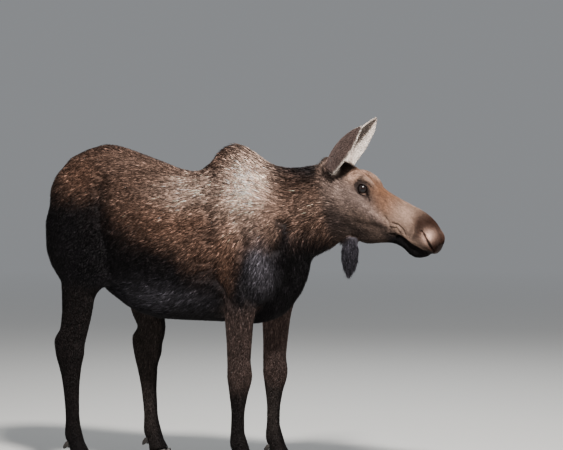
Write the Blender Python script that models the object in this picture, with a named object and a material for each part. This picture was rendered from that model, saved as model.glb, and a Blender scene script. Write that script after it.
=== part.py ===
"""A cow moose standing still with her head up, as a life-size museum model.

Metres, +Z up. She faces +X, her left side is +Y, and her soles stand on Z = 0. The body
is built up from named masses, as a sculptor builds on an armature: lofts for the trunk,
neck, head and limbs, and rounded masses for the muscles. They are fused into one
form, and thin cuts part that form where a person would name its parts.
"""

import math
from collections import namedtuple

import bmesh
import bpy
from mathutils import Matrix, Vector

# ---- how the form is made ----------------------------------------------------------
CUT_GAP = 0.0006  # width left open by every parting cut
SLIVER = 0.00002  # points closer than this are one point
RING_POINTS = 28
STEPS_BETWEEN = 4  # rings added between two named sections
TORSO_VOXEL, TORSO_SOFTENING = 0.010, 60  # broad muscles run into one another
SOFT_ABOVE = 1.02  # the softening fades out down the legs, below this height
SOFT_FADE = 0.16
BODY_VOXEL, BODY_SOFTENING = 0.007, 14  # the face keeps its forms
ROUGH_MARGIN = 0.03  # flesh kept past a cut until the form is thinned
TRIANGLES = {"trunk": 1550, "neck": 440, "head": 1500, "front_leg": 410, "hind_leg": 440}
LEFT, RIGHT = 1, -1
SIDES = {LEFT: "left", RIGHT: "right"}

# ---- the frame of the trunk --------------------------------------------------------
# Section: where it stands along the axis, its top, bottom and half width, how high its
# widest point lies (0 bottom, 1 top), and how full its upper and lower halves are
# (2 is an ellipse, less is peaked, more is boxy).
Section = namedtuple("Section", "along top bottom half level crown keel", defaults=(0.5, 2, 2))

TRUNK = [
    Section(-0.752, 1.490, 1.250, 0.055),
    Section(-0.718, 1.570, 1.190, 0.110),
    Section(-0.660, 1.648, 1.140, 0.160, 0.60, 2.0),
    Section(-0.590, 1.692, 1.080, 0.190, 0.60, 1.9),
    Section(-0.470, 1.732, 0.975, 0.222, 0.60, 1.8),
    Section(-0.380, 1.728, 0.905, 0.240, 0.58, 1.8),
    Section(-0.250, 1.692, 0.836, 0.260, 0.50, 1.8, 2.1),
    Section(-0.120, 1.648, 0.806, 0.277, 0.45, 1.8, 2.2),
    Section(0.000, 1.610, 0.800, 0.286, 0.43, 1.8, 2.2),
    Section(0.100, 1.602, 0.800, 0.280, 0.43, 1.75, 2.2),
    Section(0.200, 1.665, 0.800, 0.262, 0.44, 1.55, 2.2),
    Section(0.300, 1.742, 0.798, 0.242, 0.45, 1.40, 2.1),
    Section(0.400, 1.722, 0.796, 0.220, 0.46, 1.45, 2.0),
    Section(0.500, 1.662, 0.805, 0.192, 0.46, 1.65, 1.8),
    Section(0.600, 1.570, 0.862, 0.160, 0.46, 1.9, 1.7),
    Section(0.690, 1.450, 0.950, 0.120, 0.48, 2.0, 1.7),
    Section(0.738, 1.340, 1.060, 0.070, 0.50, 2.0, 1.8),
]

# The neck turns a little to her left as it runs forward.
NECK_BASE = 0.52
NECK_DRIFT = 0.20  # metres to the left at one metre past its base, growing as a square
NECK = [
    Section(0.380, 1.690, 1.200, 0.110, 0.50, 1.6),
    Section(0.480, 1.668, 1.150, 0.132, 0.48, 1.6),
    Section(0.580, 1.634, 1.120, 0.140, 0.46, 1.6),
    Section(0.690, 1.634, 1.118, 0.134, 0.46, 1.6),
    Section(0.790, 1.656, 1.160, 0.124, 0.47, 1.65),
    Section(0.880, 1.668, 1.205, 0.113, 0.48, 1.7),
    Section(0.950, 1.640, 1.280, 0.092, 0.50, 1.8),
]

# ---- the head, in its own frame ----------------------------------------------------
# Along runs from the poll to the nose, and height is square to it. The frame stands at
# the poll, and is turned, dropped and tipped from the trunk's frame.
HEAD_AT = Vector((0.878, 0.034, 1.566))
HEAD_TURN = math.radians(9)
HEAD_DROP = math.radians(36)
HEAD_TIP = math.radians(5)
SKULL = [
    Section(-0.110, 0.060, -0.110, 0.070),
    Section(-0.040, 0.094, -0.165, 0.088, 0.60),
    Section(0.030, 0.108, -0.205, 0.097, 0.66, 2.3),
    Section(0.090, 0.110, -0.222, 0.099, 0.74, 2.6),
    Section(0.150, 0.108, -0.228, 0.098, 0.80, 2.9),
    Section(0.210, 0.110, -0.226, 0.088, 0.77, 2.7, 1.9),
    Section(0.280, 0.113, -0.205, 0.076, 0.70, 2.4, 1.9),
    Section(0.345, 0.123, -0.160, 0.068, 0.62, 2.2, 2.0),
    Section(0.400, 0.132, -0.100, 0.066, 0.50, 2.2, 2.1),
    Section(0.450, 0.140, -0.052, 0.069, 0.42, 2.3, 2.2),
    Section(0.505, 0.143, -0.030, 0.075, 0.38, 2.4, 2.4),
    Section(0.560, 0.134, -0.022, 0.078, 0.38, 2.4, 2.4),
    Section(0.606, 0.113, -0.014, 0.076, 0.38, 2.4, 2.4),
    Section(0.645, 0.078, -0.004, 0.060, 0.40, 2.3, 2.4),
    Section(0.663, 0.046, 0.004, 0.032, 0.45),
]
LOWER_JAW = [
    Section(0.250, -0.080, -0.205, 0.052),
    Section(0.330, -0.040, -0.182, 0.052),
    Section(0.395, -0.020, -0.126, 0.050),
    Section(0.450, -0.012, -0.088, 0.048),
    Section(0.505, -0.006, -0.078, 0.052),
    Section(0.550, -0.004, -0.084, 0.054),
    Section(0.590, 0.000, -0.074, 0.046),
    Section(0.618, 0.004, -0.050, 0.034),
    Section(0.634, 0.004, -0.028, 0.018),
]
# The line between the lips, from the corner of the mouth to the front.
MOUTH = [(0.446, -0.032), (0.483, -0.023), (0.551, -0.020), (0.602, -0.012), (0.642, 0.002)]
MOUTH_PARTING = 0.0020
EYE_AT = Vector((0.164, 0.083, 0.066))  # her left eye; the right one mirrors it
EYE_RADIUS = 0.0255
EYE_OPENING = (0.0290, 0.015, 0.0220)
EYE_OPENING_OUT = 0.020
NOSTRIL_AT = Vector((0.594, 0.072, 0.045))
NOSTRIL = (0.055, 0.020, 0.010)
NOSTRIL_LEAN = 23

# ---- ears, in the trunk's frame ----------------------------------------------------
# EarSection: distance up the ear as a share of its length, half width, depth of the
# cup, and how far the cup is open (0 is a solid stem, 1 an open blade).
EarSection = namedtuple("EarSection", "up half depth open")
EAR_LENGTH = 0.300
EAR_WALL = 0.010
EAR_WRAP = math.radians(84)  # how far the edges curl round, from the back's middle line
EAR = [
    EarSection(0.00, 0.056, 0.038, 0.0),
    EarSection(0.12, 0.061, 0.044, 0.1),
    EarSection(0.24, 0.066, 0.050, 0.6),
    EarSection(0.38, 0.069, 0.052, 0.9),
    EarSection(0.53, 0.067, 0.048, 1.0),
    EarSection(0.69, 0.056, 0.040, 1.0),
    EarSection(0.83, 0.040, 0.030, 1.0),
    EarSection(0.94, 0.022, 0.019, 1.0),
    EarSection(1.00, 0.010, 0.013, 0.6),
]
# Ear: where its root sits in the head's frame, which way it points and which way the
# cup faces in the trunk's frame.
Ear = namedtuple("Ear", "root points faces")
EARS = {
    RIGHT: Ear(
        root=Vector((-0.032, -0.080, 0.045)),
        points=Vector((0.198, -0.060, 0.217)),
        faces=Vector((0.50, 0.80, -0.33)),
    ),
    LEFT: Ear(
        root=Vector((-0.015, 0.078, 0.055)),
        points=Vector((0.160, 0.060, 0.250)),
        faces=Vector((0.80, -0.45, -0.35)),
    ),
}


def blended(sections, steps=STEPS_BETWEEN):
    """The sections with smooth ones added between them (Catmull-Rom)."""
    last = len(sections) - 1
    found = []
    for i in range(last):
        before, here = sections[max(i - 1, 0)], sections[i]
        there, after = sections[i + 1], sections[min(i + 2, last)]
        for step in range(steps):
            t = step / steps
            values = [
                0.5 * (2 * b + (c - a) * t + (2 * a - 5 * b + 4 * c - d) * t**2
                       + (3 * b - a - 3 * c + d) * t**3)
                for a, b, c, d in zip(before, here, there, after)
            ]
            found.append(type(here)(*values))
    found.append(sections[-1])
    return found


def power(value, exponent):
    return math.copysign(abs(value) ** exponent, value)


def section_ring(section, count=RING_POINTS):
    """A section's outline as points, in a plane square to X."""
    widest = section.bottom + (section.top - section.bottom) * section.level
    points = []
    for k in range(count):
        turn = math.tau * k / count
        rise = math.sin(turn)
        fullness = section.crown if rise >= 0 else section.keel
        reach = (section.top if rise >= 0 else section.bottom) - widest
        across = section.half * power(math.cos(turn), 2 / fullness)
        up = widest + reach * abs(rise) ** (2 / fullness)
        points.append(Vector((section.along, across, up)))
    return points


def as_object(name, shape):
    mesh = bpy.data.meshes.new(name)
    shape.to_mesh(mesh)
    shape.free()
    made = bpy.data.objects.new(name, mesh)
    bpy.context.scene.collection.objects.link(made)
    return made


def skin_rings(name, rings):
    """A closed tube of triangles over rings that have the same number of points."""
    shape = bmesh.new()
    loops = [[shape.verts.new(p) for p in ring] for ring in rings]
    for lower, upper in zip(loops, loops[1:]):
        for k, corner in enumerate(lower):
            following = (k + 1) % len(lower)
            shape.faces.new((corner, lower[following], upper[following]))
            shape.faces.new((corner, upper[following], upper[k]))
    shape.faces.new(loops[0])
    shape.faces.new(loops[-1])
    bmesh.ops.recalc_face_normals(shape, faces=shape.faces)
    return as_object(name, shape)


def head_frame():
    return (
        Matrix.Translation(HEAD_AT)
        @ Matrix.Rotation(HEAD_TURN, 4, "Z")
        @ Matrix.Rotation(HEAD_DROP, 4, "Y")
        @ Matrix.Rotation(HEAD_TIP, 4, "X")
    )


def loft(name, sections, place=Matrix.Identity(4), bend=None):
    rings = [section_ring(s) for s in blended(sections)]
    if bend:
        rings = [[bend(p) for p in ring] for ring in rings]
    return skin_rings(name, [[place @ p for p in ring] for ring in rings])


def neck_bend(point):
    forward = max(0.0, point.x - NECK_BASE)
    return point + Vector((0, NECK_DRIFT * forward**2, 0))


def mass(name, centre, radii, lean=0, splay=0, place=Matrix.Identity(4), rounds=24, tiers=16):
    """An ellipsoid. Lean turns it about Y, nose down, and splay about X."""
    shape = bmesh.new()
    turned = Matrix.Rotation(math.radians(lean), 4, "Y") @ Matrix.Rotation(math.radians(splay), 4, "X")
    form = place @ Matrix.Translation(centre) @ turned @ Matrix.Diagonal((*radii, 1))
    bmesh.ops.create_uvsphere(shape, u_segments=rounds, v_segments=tiers, radius=1, matrix=form)
    return as_object(name, shape)


# ---- limbs --------------------------------------------------------------------------
# Joint: a point on the limb's line, its half depth (fore and aft) and half width.
Joint = namedtuple("Joint", "x y z depth width")


def limb(name, joints, count=20, steps=STEPS_BETWEEN):
    """A tube along the joints. Each ring stands square to the line, seen from the side."""
    line = blended(joints, steps)
    rings = []
    for i, at in enumerate(line):
        before, after = line[max(i - 1, 0)], line[min(i + 1, len(line) - 1)]
        along = Vector((after.x - before.x, 0, after.z - before.z)).normalized()
        fore = Vector((-along.z, 0, along.x))
        ring = []
        for k in range(count):
            turn = math.tau * k / count
            across = Vector((0, math.sin(turn) * at.width, 0))
            ring.append(Vector((at.x, at.y, at.z)) + fore * math.cos(turn) * at.depth + across)
        rings.append(ring)
    return skin_rings(name, rings)


FOOT_SPACING = 0.165  # from the middle plane to each foot
KNEE_HEIGHT = 0.530
HOCK_HEIGHT = 0.650
FETLOCK_HEIGHT = 0.185
CORONET_HEIGHT = 0.080

# Where each limb's line passes, fore and aft. The left legs stand a little ahead.
KNEE_X = {RIGHT: 0.420, LEFT: 0.470}
# The buttock leans, in degrees, as the thigh swings forward under it.
HindLine = namedtuple("HindLine", "thigh stifle gaskin shin hock cannon fetlock buttock_lean")
HIND_X = {
    RIGHT: HindLine(-0.520, -0.490, -0.522, -0.538, -0.585, -0.582, -0.565, 10),
    LEFT: HindLine(-0.430, -0.360, -0.318, -0.302, -0.290, -0.292, -0.262, -24),
}


def front_leg(side):
    """Forearm, knee, cannon and pastern."""
    x, y = KNEE_X[side], side * FOOT_SPACING
    return limb("front_leg", [
        Joint(x + 0.060, y * 1.10, 1.080, 0.125, 0.060),
        Joint(x + 0.020, y * 1.10, 0.960, 0.106, 0.066),
        Joint(x + 0.004, y * 1.06, 0.860, 0.086, 0.062),
        Joint(x, y * 1.03, 0.740, 0.074, 0.055),
        Joint(x - 0.004, y, 0.620, 0.067, 0.050),
        Joint(x, y, KNEE_HEIGHT, 0.071, 0.056),
        Joint(x - 0.006, y, 0.450, 0.055, 0.045),
        Joint(x - 0.010, y, 0.350, 0.040, 0.034),
        Joint(x - 0.012, y, 0.250, 0.040, 0.034),
        Joint(x - 0.006, y, FETLOCK_HEIGHT, 0.050, 0.045),
        Joint(x + 0.016, y, 0.130, 0.044, 0.047),
        Joint(x + 0.032, y, CORONET_HEIGHT, 0.056, 0.054),
        Joint(x + 0.044, y, CORONET_HEIGHT - 0.035, 0.058, 0.054),
    ])


def hind_leg(side):
    """Thigh, gaskin, hock, cannon and pastern."""
    at, y = HIND_X[side], side * FOOT_SPACING
    return limb("hind_leg", [
        Joint(at.thigh - 0.010, y * 1.00, 1.260, 0.185, 0.080),
        Joint(at.thigh, y * 1.05, 1.190, 0.182, 0.082),
        Joint(at.stifle, y * 1.10, 1.070, 0.165, 0.078),
        Joint(at.gaskin, y * 1.08, 0.960, 0.110, 0.066),
        Joint(at.shin, y * 1.03, 0.850, 0.093, 0.054),
        Joint(at.hock + 0.028, y, 0.750, 0.084, 0.047),
        Joint(at.hock + 0.004, y, HOCK_HEIGHT + 0.025, 0.088, 0.048),
        Joint(at.hock, y, HOCK_HEIGHT - 0.035, 0.088, 0.050),
        Joint(at.cannon, y, 0.540, 0.066, 0.045),
        Joint(at.cannon * 0.7 + at.fetlock * 0.3, y, 0.420, 0.048, 0.037),
        Joint(at.cannon * 0.3 + at.fetlock * 0.7, y, 0.270, 0.042, 0.035),
        Joint(at.fetlock, y, FETLOCK_HEIGHT, 0.051, 0.045),
        Joint(at.fetlock + 0.022, y, 0.130, 0.044, 0.047),
        Joint(at.fetlock + 0.038, y, CORONET_HEIGHT, 0.056, 0.054),
        Joint(at.fetlock + 0.050, y, CORONET_HEIGHT - 0.035, 0.058, 0.054),
    ])


# ---- the masses of flesh ------------------------------------------------------------
def torso_masses():
    found = [
        loft("trunk", TRUNK),
        loft("neck", NECK, bend=neck_bend),
        mass("brisket", (0.480, 0, 0.900), (0.190, 0.085, 0.095), lean=-16),
        mass("hump", (0.325, 0, 1.600), (0.150, 0.080, 0.146), lean=4),
        mass("throat", (0.880, 0.034, 1.300), (0.110, 0.070, 0.080), lean=-20),
    ]
    for side in (RIGHT, LEFT):
        at = HIND_X[side]
        blade = mass(
            "shoulder_blade", (0.470, side * 0.120, 1.360), (0.170, 0.082, 0.300), -26, side * 9
        )
        hock = (at.hock - 0.062, side * FOOT_SPACING, HOCK_HEIGHT + 0.020)
        found += [
            blade,
            mass("shoulder_point", (0.600, side * 0.115, 1.220), (0.130, 0.090, 0.150)),
            mass("upper_arm", (0.480, side * 0.150, 1.080), (0.175, 0.092, 0.175), lean=38),
            mass("hip", (-0.330, side * 0.150, 1.480), (0.160, 0.068, 0.120), lean=18),
            mass("thigh", (at.thigh + 0.010, side * 0.140, 1.270), (0.235, 0.115, 0.260), lean=-10),
            mass("pin_bone", (-0.632, side * 0.086, 1.450), (0.112, 0.090, 0.170), lean=8),
            mass("buttock", (-0.600, side * 0.108, 1.270), (0.126, 0.090, 0.240), at.buttock_lean),
            mass("hamstring", (at.thigh - 0.105, side * 0.140, 1.130), (0.100, 0.070, 0.190), lean=-26),
            mass("flank_fold", (at.thigh + 0.170, side * 0.150, 1.120), (0.130, 0.060, 0.110), lean=40),
            mass("point_of_hock", hock, (0.034, 0.028, 0.060)),
            hind_leg(side),
            front_leg(side),
        ]
    return found


def head_masses():
    head = head_frame()
    found = [
        loft("skull", SKULL, place=head),
        loft("lower_jaw", LOWER_JAW, place=head),
        mass("chin", (0.560, 0, -0.062), (0.042, 0.044, 0.020), place=head),
    ]
    for side in (RIGHT, LEFT):
        found += [
            mass("brow", (0.150, side * 0.060, 0.084), (0.085, 0.044, 0.040), lean=4, place=head),
            mass("eyelids", (0.166, side * 0.078, 0.062), (0.050, 0.030, 0.036), place=head),
            mass("cheek", (0.085, side * 0.046, -0.110), (0.140, 0.060, 0.116), lean=18, place=head),
            mass("cheekbone", (0.225, side * 0.044, 0.004), (0.160, 0.044, 0.054), lean=12, place=head),
            mass("nostril_wing", (0.590, side * 0.044, 0.055), (0.066, 0.038, 0.054), lean=23, place=head),
            mass("upper_lip", (0.545, side * 0.044, 0.006), (0.110, 0.034, 0.026), lean=-8, place=head),
            mass("ear_root", EARS[side].root, (0.047, 0.036, 0.052), place=head),
        ]
    return found


# ---- tools for whole forms ----------------------------------------------------------
def applied(made, *settings):
    """The object with modifiers applied, each given as (type, {setting: value})."""
    for kind, values in settings:
        modifier = made.modifiers.new(kind.title(), kind)
        for key, value in values.items():
            setattr(modifier, key, value)
    graph = bpy.context.evaluated_depsgraph_get()
    mesh = bpy.data.meshes.new_from_object(made.evaluated_get(graph))
    made.modifiers.clear()
    made.data = mesh
    return made


def fused(name, pieces, voxel, softening, weight=None):
    """The pieces made one skin, softened where the weight of a point is above nothing."""
    shape = bmesh.new()
    for piece in pieces:
        shape.from_mesh(piece.data)
        bpy.data.objects.remove(piece)
    made = applied(as_object(name, shape), ("REMESH", {"mode": "VOXEL", "voxel_size": voxel}))
    smooth = {"factor": 0.5, "iterations": softening}
    if weight:
        soft = made.vertex_groups.new(name="soft")
        for vertex in made.data.vertices:
            soft.add([vertex.index], weight(vertex.co), "REPLACE")
        smooth["vertex_group"] = soft.name
    return applied(made, ("SMOOTH", smooth))


def softness(point):
    return min(1.0, max(0.0, (point.z - SOFT_ABOVE + SOFT_FADE) / SOFT_FADE))


def closed_cut(made, point, normal):
    """Cuts away what lies past a plane, on the side its normal points to, and closes it."""
    shape = bmesh.new()
    shape.from_mesh(made.data)
    everything = [*shape.verts, *shape.edges, *shape.faces]
    bmesh.ops.bisect_plane(
        shape, geom=everything, dist=1e-7, plane_co=point, plane_no=normal, clear_outer=True
    )
    rim = [edge for edge in shape.edges if edge.is_boundary]
    caps = bmesh.ops.holes_fill(shape, edges=rim, sides=0)["faces"]
    bmesh.ops.triangulate(shape, faces=caps)
    bmesh.ops.recalc_face_normals(shape, faces=shape.faces)
    shape.to_mesh(made.data)
    shape.free()
    return made


# Cut: a plane that parts the body, by a point on it and its normal.
Cut = namedtuple("Cut", "point normal")
NECK_CUT = Cut(Vector((0.470, 0, 1.680)), Vector((0.863, 0, 0.507)))
HEAD_CUT = Cut(Vector((0.845, 0, 1.450)), Vector((0.965, 0.100, 0.240)).normalized())
KNEE_CUT = Cut(Vector((0, 0, 0.470)), Vector((0, 0, 1)))
HOCK_CUT = Cut(Vector((0, 0, 0.575)), Vector((0, 0, 1)))
CORONET_TILT = math.radians(12)


def behind(made, cut, margin=-CUT_GAP / 2):
    return closed_cut(made, cut.point + cut.normal * margin, cut.normal)


def ahead(made, cut, margin=-CUT_GAP / 2):
    return closed_cut(made, cut.point - cut.normal * margin, -cut.normal)


def duplicate(source, name):
    made = source.copy()
    made.data = source.data.copy()
    made.name = name
    bpy.context.scene.collection.objects.link(made)
    return made


def region(source, name, steps, triangles):
    """A thinned copy of the flesh between some cuts, each given as (side, cut)."""
    made = duplicate(source, name)
    for side, cut in steps:
        side(made, cut, ROUGH_MARGIN)
    count = sum(len(face.vertices) - 2 for face in made.data.polygons)
    ratio = min(1.0, triangles / count)
    applied(made, ("DECIMATE", {"ratio": ratio, "use_collapse_triangulate": True}))
    for side, cut in steps:
        side(made, cut)
    return made


def boolean(made, operation, tool):
    """The object after a Boolean with a tool, which is used up, with its slivers merged."""
    applied(made, ("BOOLEAN", {"operation": operation, "solver": "EXACT", "object": tool}))
    bpy.data.objects.remove(tool)
    shape = bmesh.new()
    shape.from_mesh(made.data)
    bmesh.ops.remove_doubles(shape, verts=shape.verts, dist=SLIVER)
    bmesh.ops.dissolve_degenerate(shape, edges=shape.edges, dist=SLIVER)
    bmesh.ops.triangulate(shape, faces=shape.faces)
    shape.to_mesh(made.data)
    shape.free()
    return made


def prism(name, outline, width, place):
    """A flat outline in the X-Z plane made solid, evenly about the middle plane."""
    shape = bmesh.new()
    sides = []
    for y in (-width / 2, width / 2):
        sides.append([shape.verts.new(place @ Vector((x, y, z))) for x, z in outline])
    count = len(outline)
    for k in range(count):
        following = (k + 1) % count
        shape.faces.new((sides[0][k], sides[0][following], sides[1][following], sides[1][k]))
    shape.faces.new(sides[0])
    shape.faces.new(sides[1])
    bmesh.ops.recalc_face_normals(shape, faces=shape.faces)
    return as_object(name, shape)


def box(name, low, high):
    shape = bmesh.new()
    middle = [(a + b) / 2 for a, b in zip(low, high)]
    size = [abs(b - a) for a, b in zip(low, high)]
    form = Matrix.Translation(middle) @ Matrix.Diagonal((*size, 1))
    bmesh.ops.create_cube(shape, size=1, matrix=form)
    return as_object(name, shape)


# ---- pieces that are set into the body ----------------------------------------------
SEAT_GAP = 0.0005


def grown(piece):
    """A copy of a piece, a hair larger all over, to cut its seat with."""
    made = duplicate(piece, "seat")
    shape = bmesh.new()
    shape.from_mesh(made.data)
    shape.normal_update()
    outward = [vertex.normal.copy() for vertex in shape.verts]
    for vertex, normal in zip(shape.verts, outward):
        vertex.co += normal * SEAT_GAP
    shape.to_mesh(made.data)
    shape.free()
    return made


def eye(side):
    centre = EYE_AT * Vector((1, side, 1))
    ball = (EYE_RADIUS,) * 3
    name = f"{SIDES[side]}_eye"
    return mass(name, centre, ball, splay=90, place=head_frame(), rounds=12, tiers=8)


def ear(side):
    """A cupped blade on a solid stem."""
    spec = EARS[side]
    up = spec.points.normalized()
    across = up.cross(spec.faces).normalized()
    faces = across.cross(up)
    root = head_frame() @ spec.root
    arc = [EAR_WRAP * (k / 3 - 1) for k in range(7)]
    rings = []
    for at in EAR:
        centre = root + up * at.up * EAR_LENGTH
        back = [(at.half * math.sin(t), -at.depth * math.cos(t)) for t in arc]
        stem = 0.85 * at.depth * (1 - at.open)
        blade = (at.depth - EAR_WALL) * at.open
        cup = [((at.half - EAR_WALL) * math.sin(t), (stem - blade) * math.cos(t)) for t in reversed(arc)]
        rings.append([centre + across * a + faces * b for a, b in back + cup])
    return skin_rings(f"{SIDES[side]}_ear", rings)


def bell():
    """The furred dewlap that hangs from the throat."""
    return limb("bell", [
        Joint(0.958, 0.042, 1.262, 0.044, 0.027),
        Joint(0.955, 0.043, 1.205, 0.050, 0.030),
        Joint(0.952, 0.044, 1.155, 0.050, 0.028),
        Joint(0.949, 0.045, 1.108, 0.040, 0.024),
        Joint(0.945, 0.046, 1.064, 0.014, 0.011),
    ], count=12, steps=1)


def tail():
    return limb("tail", [
        Joint(-0.655, 0, 1.578, 0.022, 0.026),
        Joint(-0.704, 0, 1.562, 0.024, 0.028),
        Joint(-0.738, 0, 1.524, 0.022, 0.031),
        Joint(-0.757, 0, 1.472, 0.019, 0.030),
        Joint(-0.764, 0, 1.420, 0.010, 0.015),
    ], count=12, steps=1)


# Foot: the X of the middle of the coronet, and the Y of the foot.
Foot = namedtuple("Foot", "name x y")


def feet():
    for side, label in SIDES.items():
        y = side * FOOT_SPACING
        yield Foot(f"{label}_front", KNEE_X[side] + 0.032, y)
        yield Foot(f"{label}_hind", HIND_X[side].fetlock + 0.038, y)


TOE_SPACING = 0.0285  # from the middle of the foot to the middle of a toe
TOE_POINTS = 12
TOE_NARROWING = 0.30  # share of its width that a toe loses towards its tip
DEWCLAW_BACK, DEWCLAW_APART, DEWCLAW_UP = 0.068, 0.024, 0.128
# HoofRing: height as a share of the wall, its heel and toe tip from the coronet's
# middle, and its half width.
HoofRing = namedtuple("HoofRing", "up heel tip half")
HOOF = [
    HoofRing(0.00, -0.046, 0.096, 0.0260),
    HoofRing(0.12, -0.050, 0.093, 0.0272),
    HoofRing(0.50, -0.050, 0.076, 0.0272),
    HoofRing(1.00, -0.046, 0.056, 0.0262),
]


def coronet_cut(foot):
    slope = Vector((-math.sin(CORONET_TILT), 0, math.cos(CORONET_TILT)))
    return Cut(Vector((foot.x, foot.y, CORONET_HEIGHT)), slope)


def hoof(foot, place):
    """One toe of a cloven hoof. Place is -1 or 1, for the toe on her right or left."""
    rings = []
    for at in HOOF:
        middle, reach = (at.heel + at.tip) / 2, (at.tip - at.heel) / 2
        ring = []
        for k in range(TOE_POINTS):
            turn = math.tau * k / TOE_POINTS
            forward = math.cos(turn)
            narrowing = 1 - TOE_NARROWING * max(0.0, forward) ** 1.5
            x = middle + reach * forward
            y = place * TOE_SPACING + at.half * narrowing * math.sin(turn)
            top = CORONET_HEIGHT - CUT_GAP + x * math.tan(CORONET_TILT)
            ring.append(Vector((foot.x + x, foot.y + y, at.up * top)))
        rings.append(ring)
    return skin_rings("hoof", rings)


def dewclaw(foot, place):
    """One of the two small claws behind the pastern."""
    centre = (foot.x - DEWCLAW_BACK, foot.y + place * DEWCLAW_APART, DEWCLAW_UP)
    return mass("dewclaw", centre, (0.013, 0.012, 0.030), lean=38, rounds=6, tiers=5)


# ---- the body parted into its named parts -------------------------------------------
# LegCut: how high the leg's own part reaches, where it is parted from the belly, and
# how far it reaches fore and aft of its line.
LegCut = namedtuple("LegCut", "name line top inner fore aft lower")


BELOW_FEET, PAST_FLANK = -0.1, 0.45


def leg_cuts():
    """The left thigh stands further forward, so its cut is lower and reaches further."""
    for side, label in SIDES.items():
        top, inner, fore = (0.985, 0.085, 0.145) if side == RIGHT else (0.930, 0.100, 0.175)
        yield side, LegCut(f"{label}_front", KNEE_X[side], 0.900, 0.100, 0.115, 0.110, KNEE_CUT)
        yield side, LegCut(f"{label}_hind", HIND_X[side].gaskin, top, inner, fore, 0.200, HOCK_CUT)


def leg_box(side, leg, grow=0.0):
    low = (leg.line - leg.aft - grow, side * (leg.inner - grow), BELOW_FEET)
    high = (leg.line + leg.fore + grow, side * PAST_FLANK, leg.top + grow)
    return box("leg_box", low, high)


def part_leg(body, side, leg, foot):
    """A leg's upper and lower parts, down to its coronet."""
    edges = [
        (behind, Cut(Vector((0, 0, leg.top)), Vector((0, 0, 1)))),
        (ahead, Cut(Vector((0, side * leg.inner, 0)), Vector((0, side, 0)))),
        (behind, Cut(Vector((leg.line + leg.fore, 0, 0)), Vector((1, 0, 0)))),
        (ahead, Cut(Vector((leg.line - leg.aft, 0, 0)), Vector((1, 0, 0)))),
        (ahead, coronet_cut(foot)),
    ]
    kind = "front_leg" if "front" in leg.name else "hind_leg"
    whole = region(body, leg.name, edges, TRIANGLES[kind])
    upper_name = "forearm" if kind == "front_leg" else "gaskin"
    whole.name = f"{leg.name}_{upper_name}"
    lower = duplicate(whole, f"{leg.name}_shank")
    ahead(whole, leg.lower)
    behind(lower, leg.lower)
    return lower


PAST_NOSE, PAST_CHIN, PAST_CHEEKS = 0.720, -0.250, 0.4  # the mouth's cut runs clear of these
CHIN_BACK = 0.050  # the lower lip's part reaches this far back, below the mouth's corner


def part_mouth(head):
    """Parts the lower lip and chin from the head along the line of the mouth."""
    place = head_frame()
    corner, front = MOUTH[0], MOUTH[-1]
    rear = corner[0] - CHIN_BACK
    below = [*MOUTH, (PAST_NOSE, front[1]), (PAST_NOSE, PAST_CHIN), (rear, PAST_CHIN)]
    raised = [(s, t + MOUTH_PARTING) for s, t in below]
    raised[0] = (corner[0] - MOUTH_PARTING, corner[1] + MOUTH_PARTING)
    raised[-1] = (rear - MOUTH_PARTING, PAST_CHIN)
    lip = duplicate(head, "lower_lip")
    boolean(lip, "INTERSECT", prism("below", below, PAST_CHEEKS, place))
    boolean(head, "DIFFERENCE", prism("raised", raised, PAST_CHEEKS, place))


COAT = ("coat", (0.085, 0.058, 0.042), 0.8)
HORN = ("horn", (0.035, 0.030, 0.027), 0.45)
EYE = ("eye", (0.020, 0.012, 0.008), 0.08)


def material(name, colour, roughness):
    made = bpy.data.materials.new(name)
    made.use_nodes = True
    shader = made.node_tree.nodes["Principled BSDF"]
    shader.inputs["Base Color"].default_value = (*colour, 1)
    shader.inputs["Roughness"].default_value = roughness
    shader.inputs["Metallic"].default_value = 0.0
    return made


def finish():
    """Gives each part its material and puts the origin under the middle of the whole."""
    coat, horn, glass = material(*COAT), material(*HORN), material(*EYE)
    corners = [v.co for made in bpy.data.objects for v in made.data.vertices]
    middle = [(min(c[i] for c in corners) + max(c[i] for c in corners)) / 2 for i in (0, 1)]
    for made in bpy.data.objects:
        made.data.transform(Matrix.Translation((-middle[0], -middle[1], 0)))
        hard = "hoof" in made.name or "dewclaw" in made.name
        made.data.materials.clear()
        made.data.materials.append(horn if hard else glass if "eye" in made.name else coat)
        made.data.shade_smooth()
        made.data.set_sharp_from_angle(angle=math.radians(50))


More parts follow.
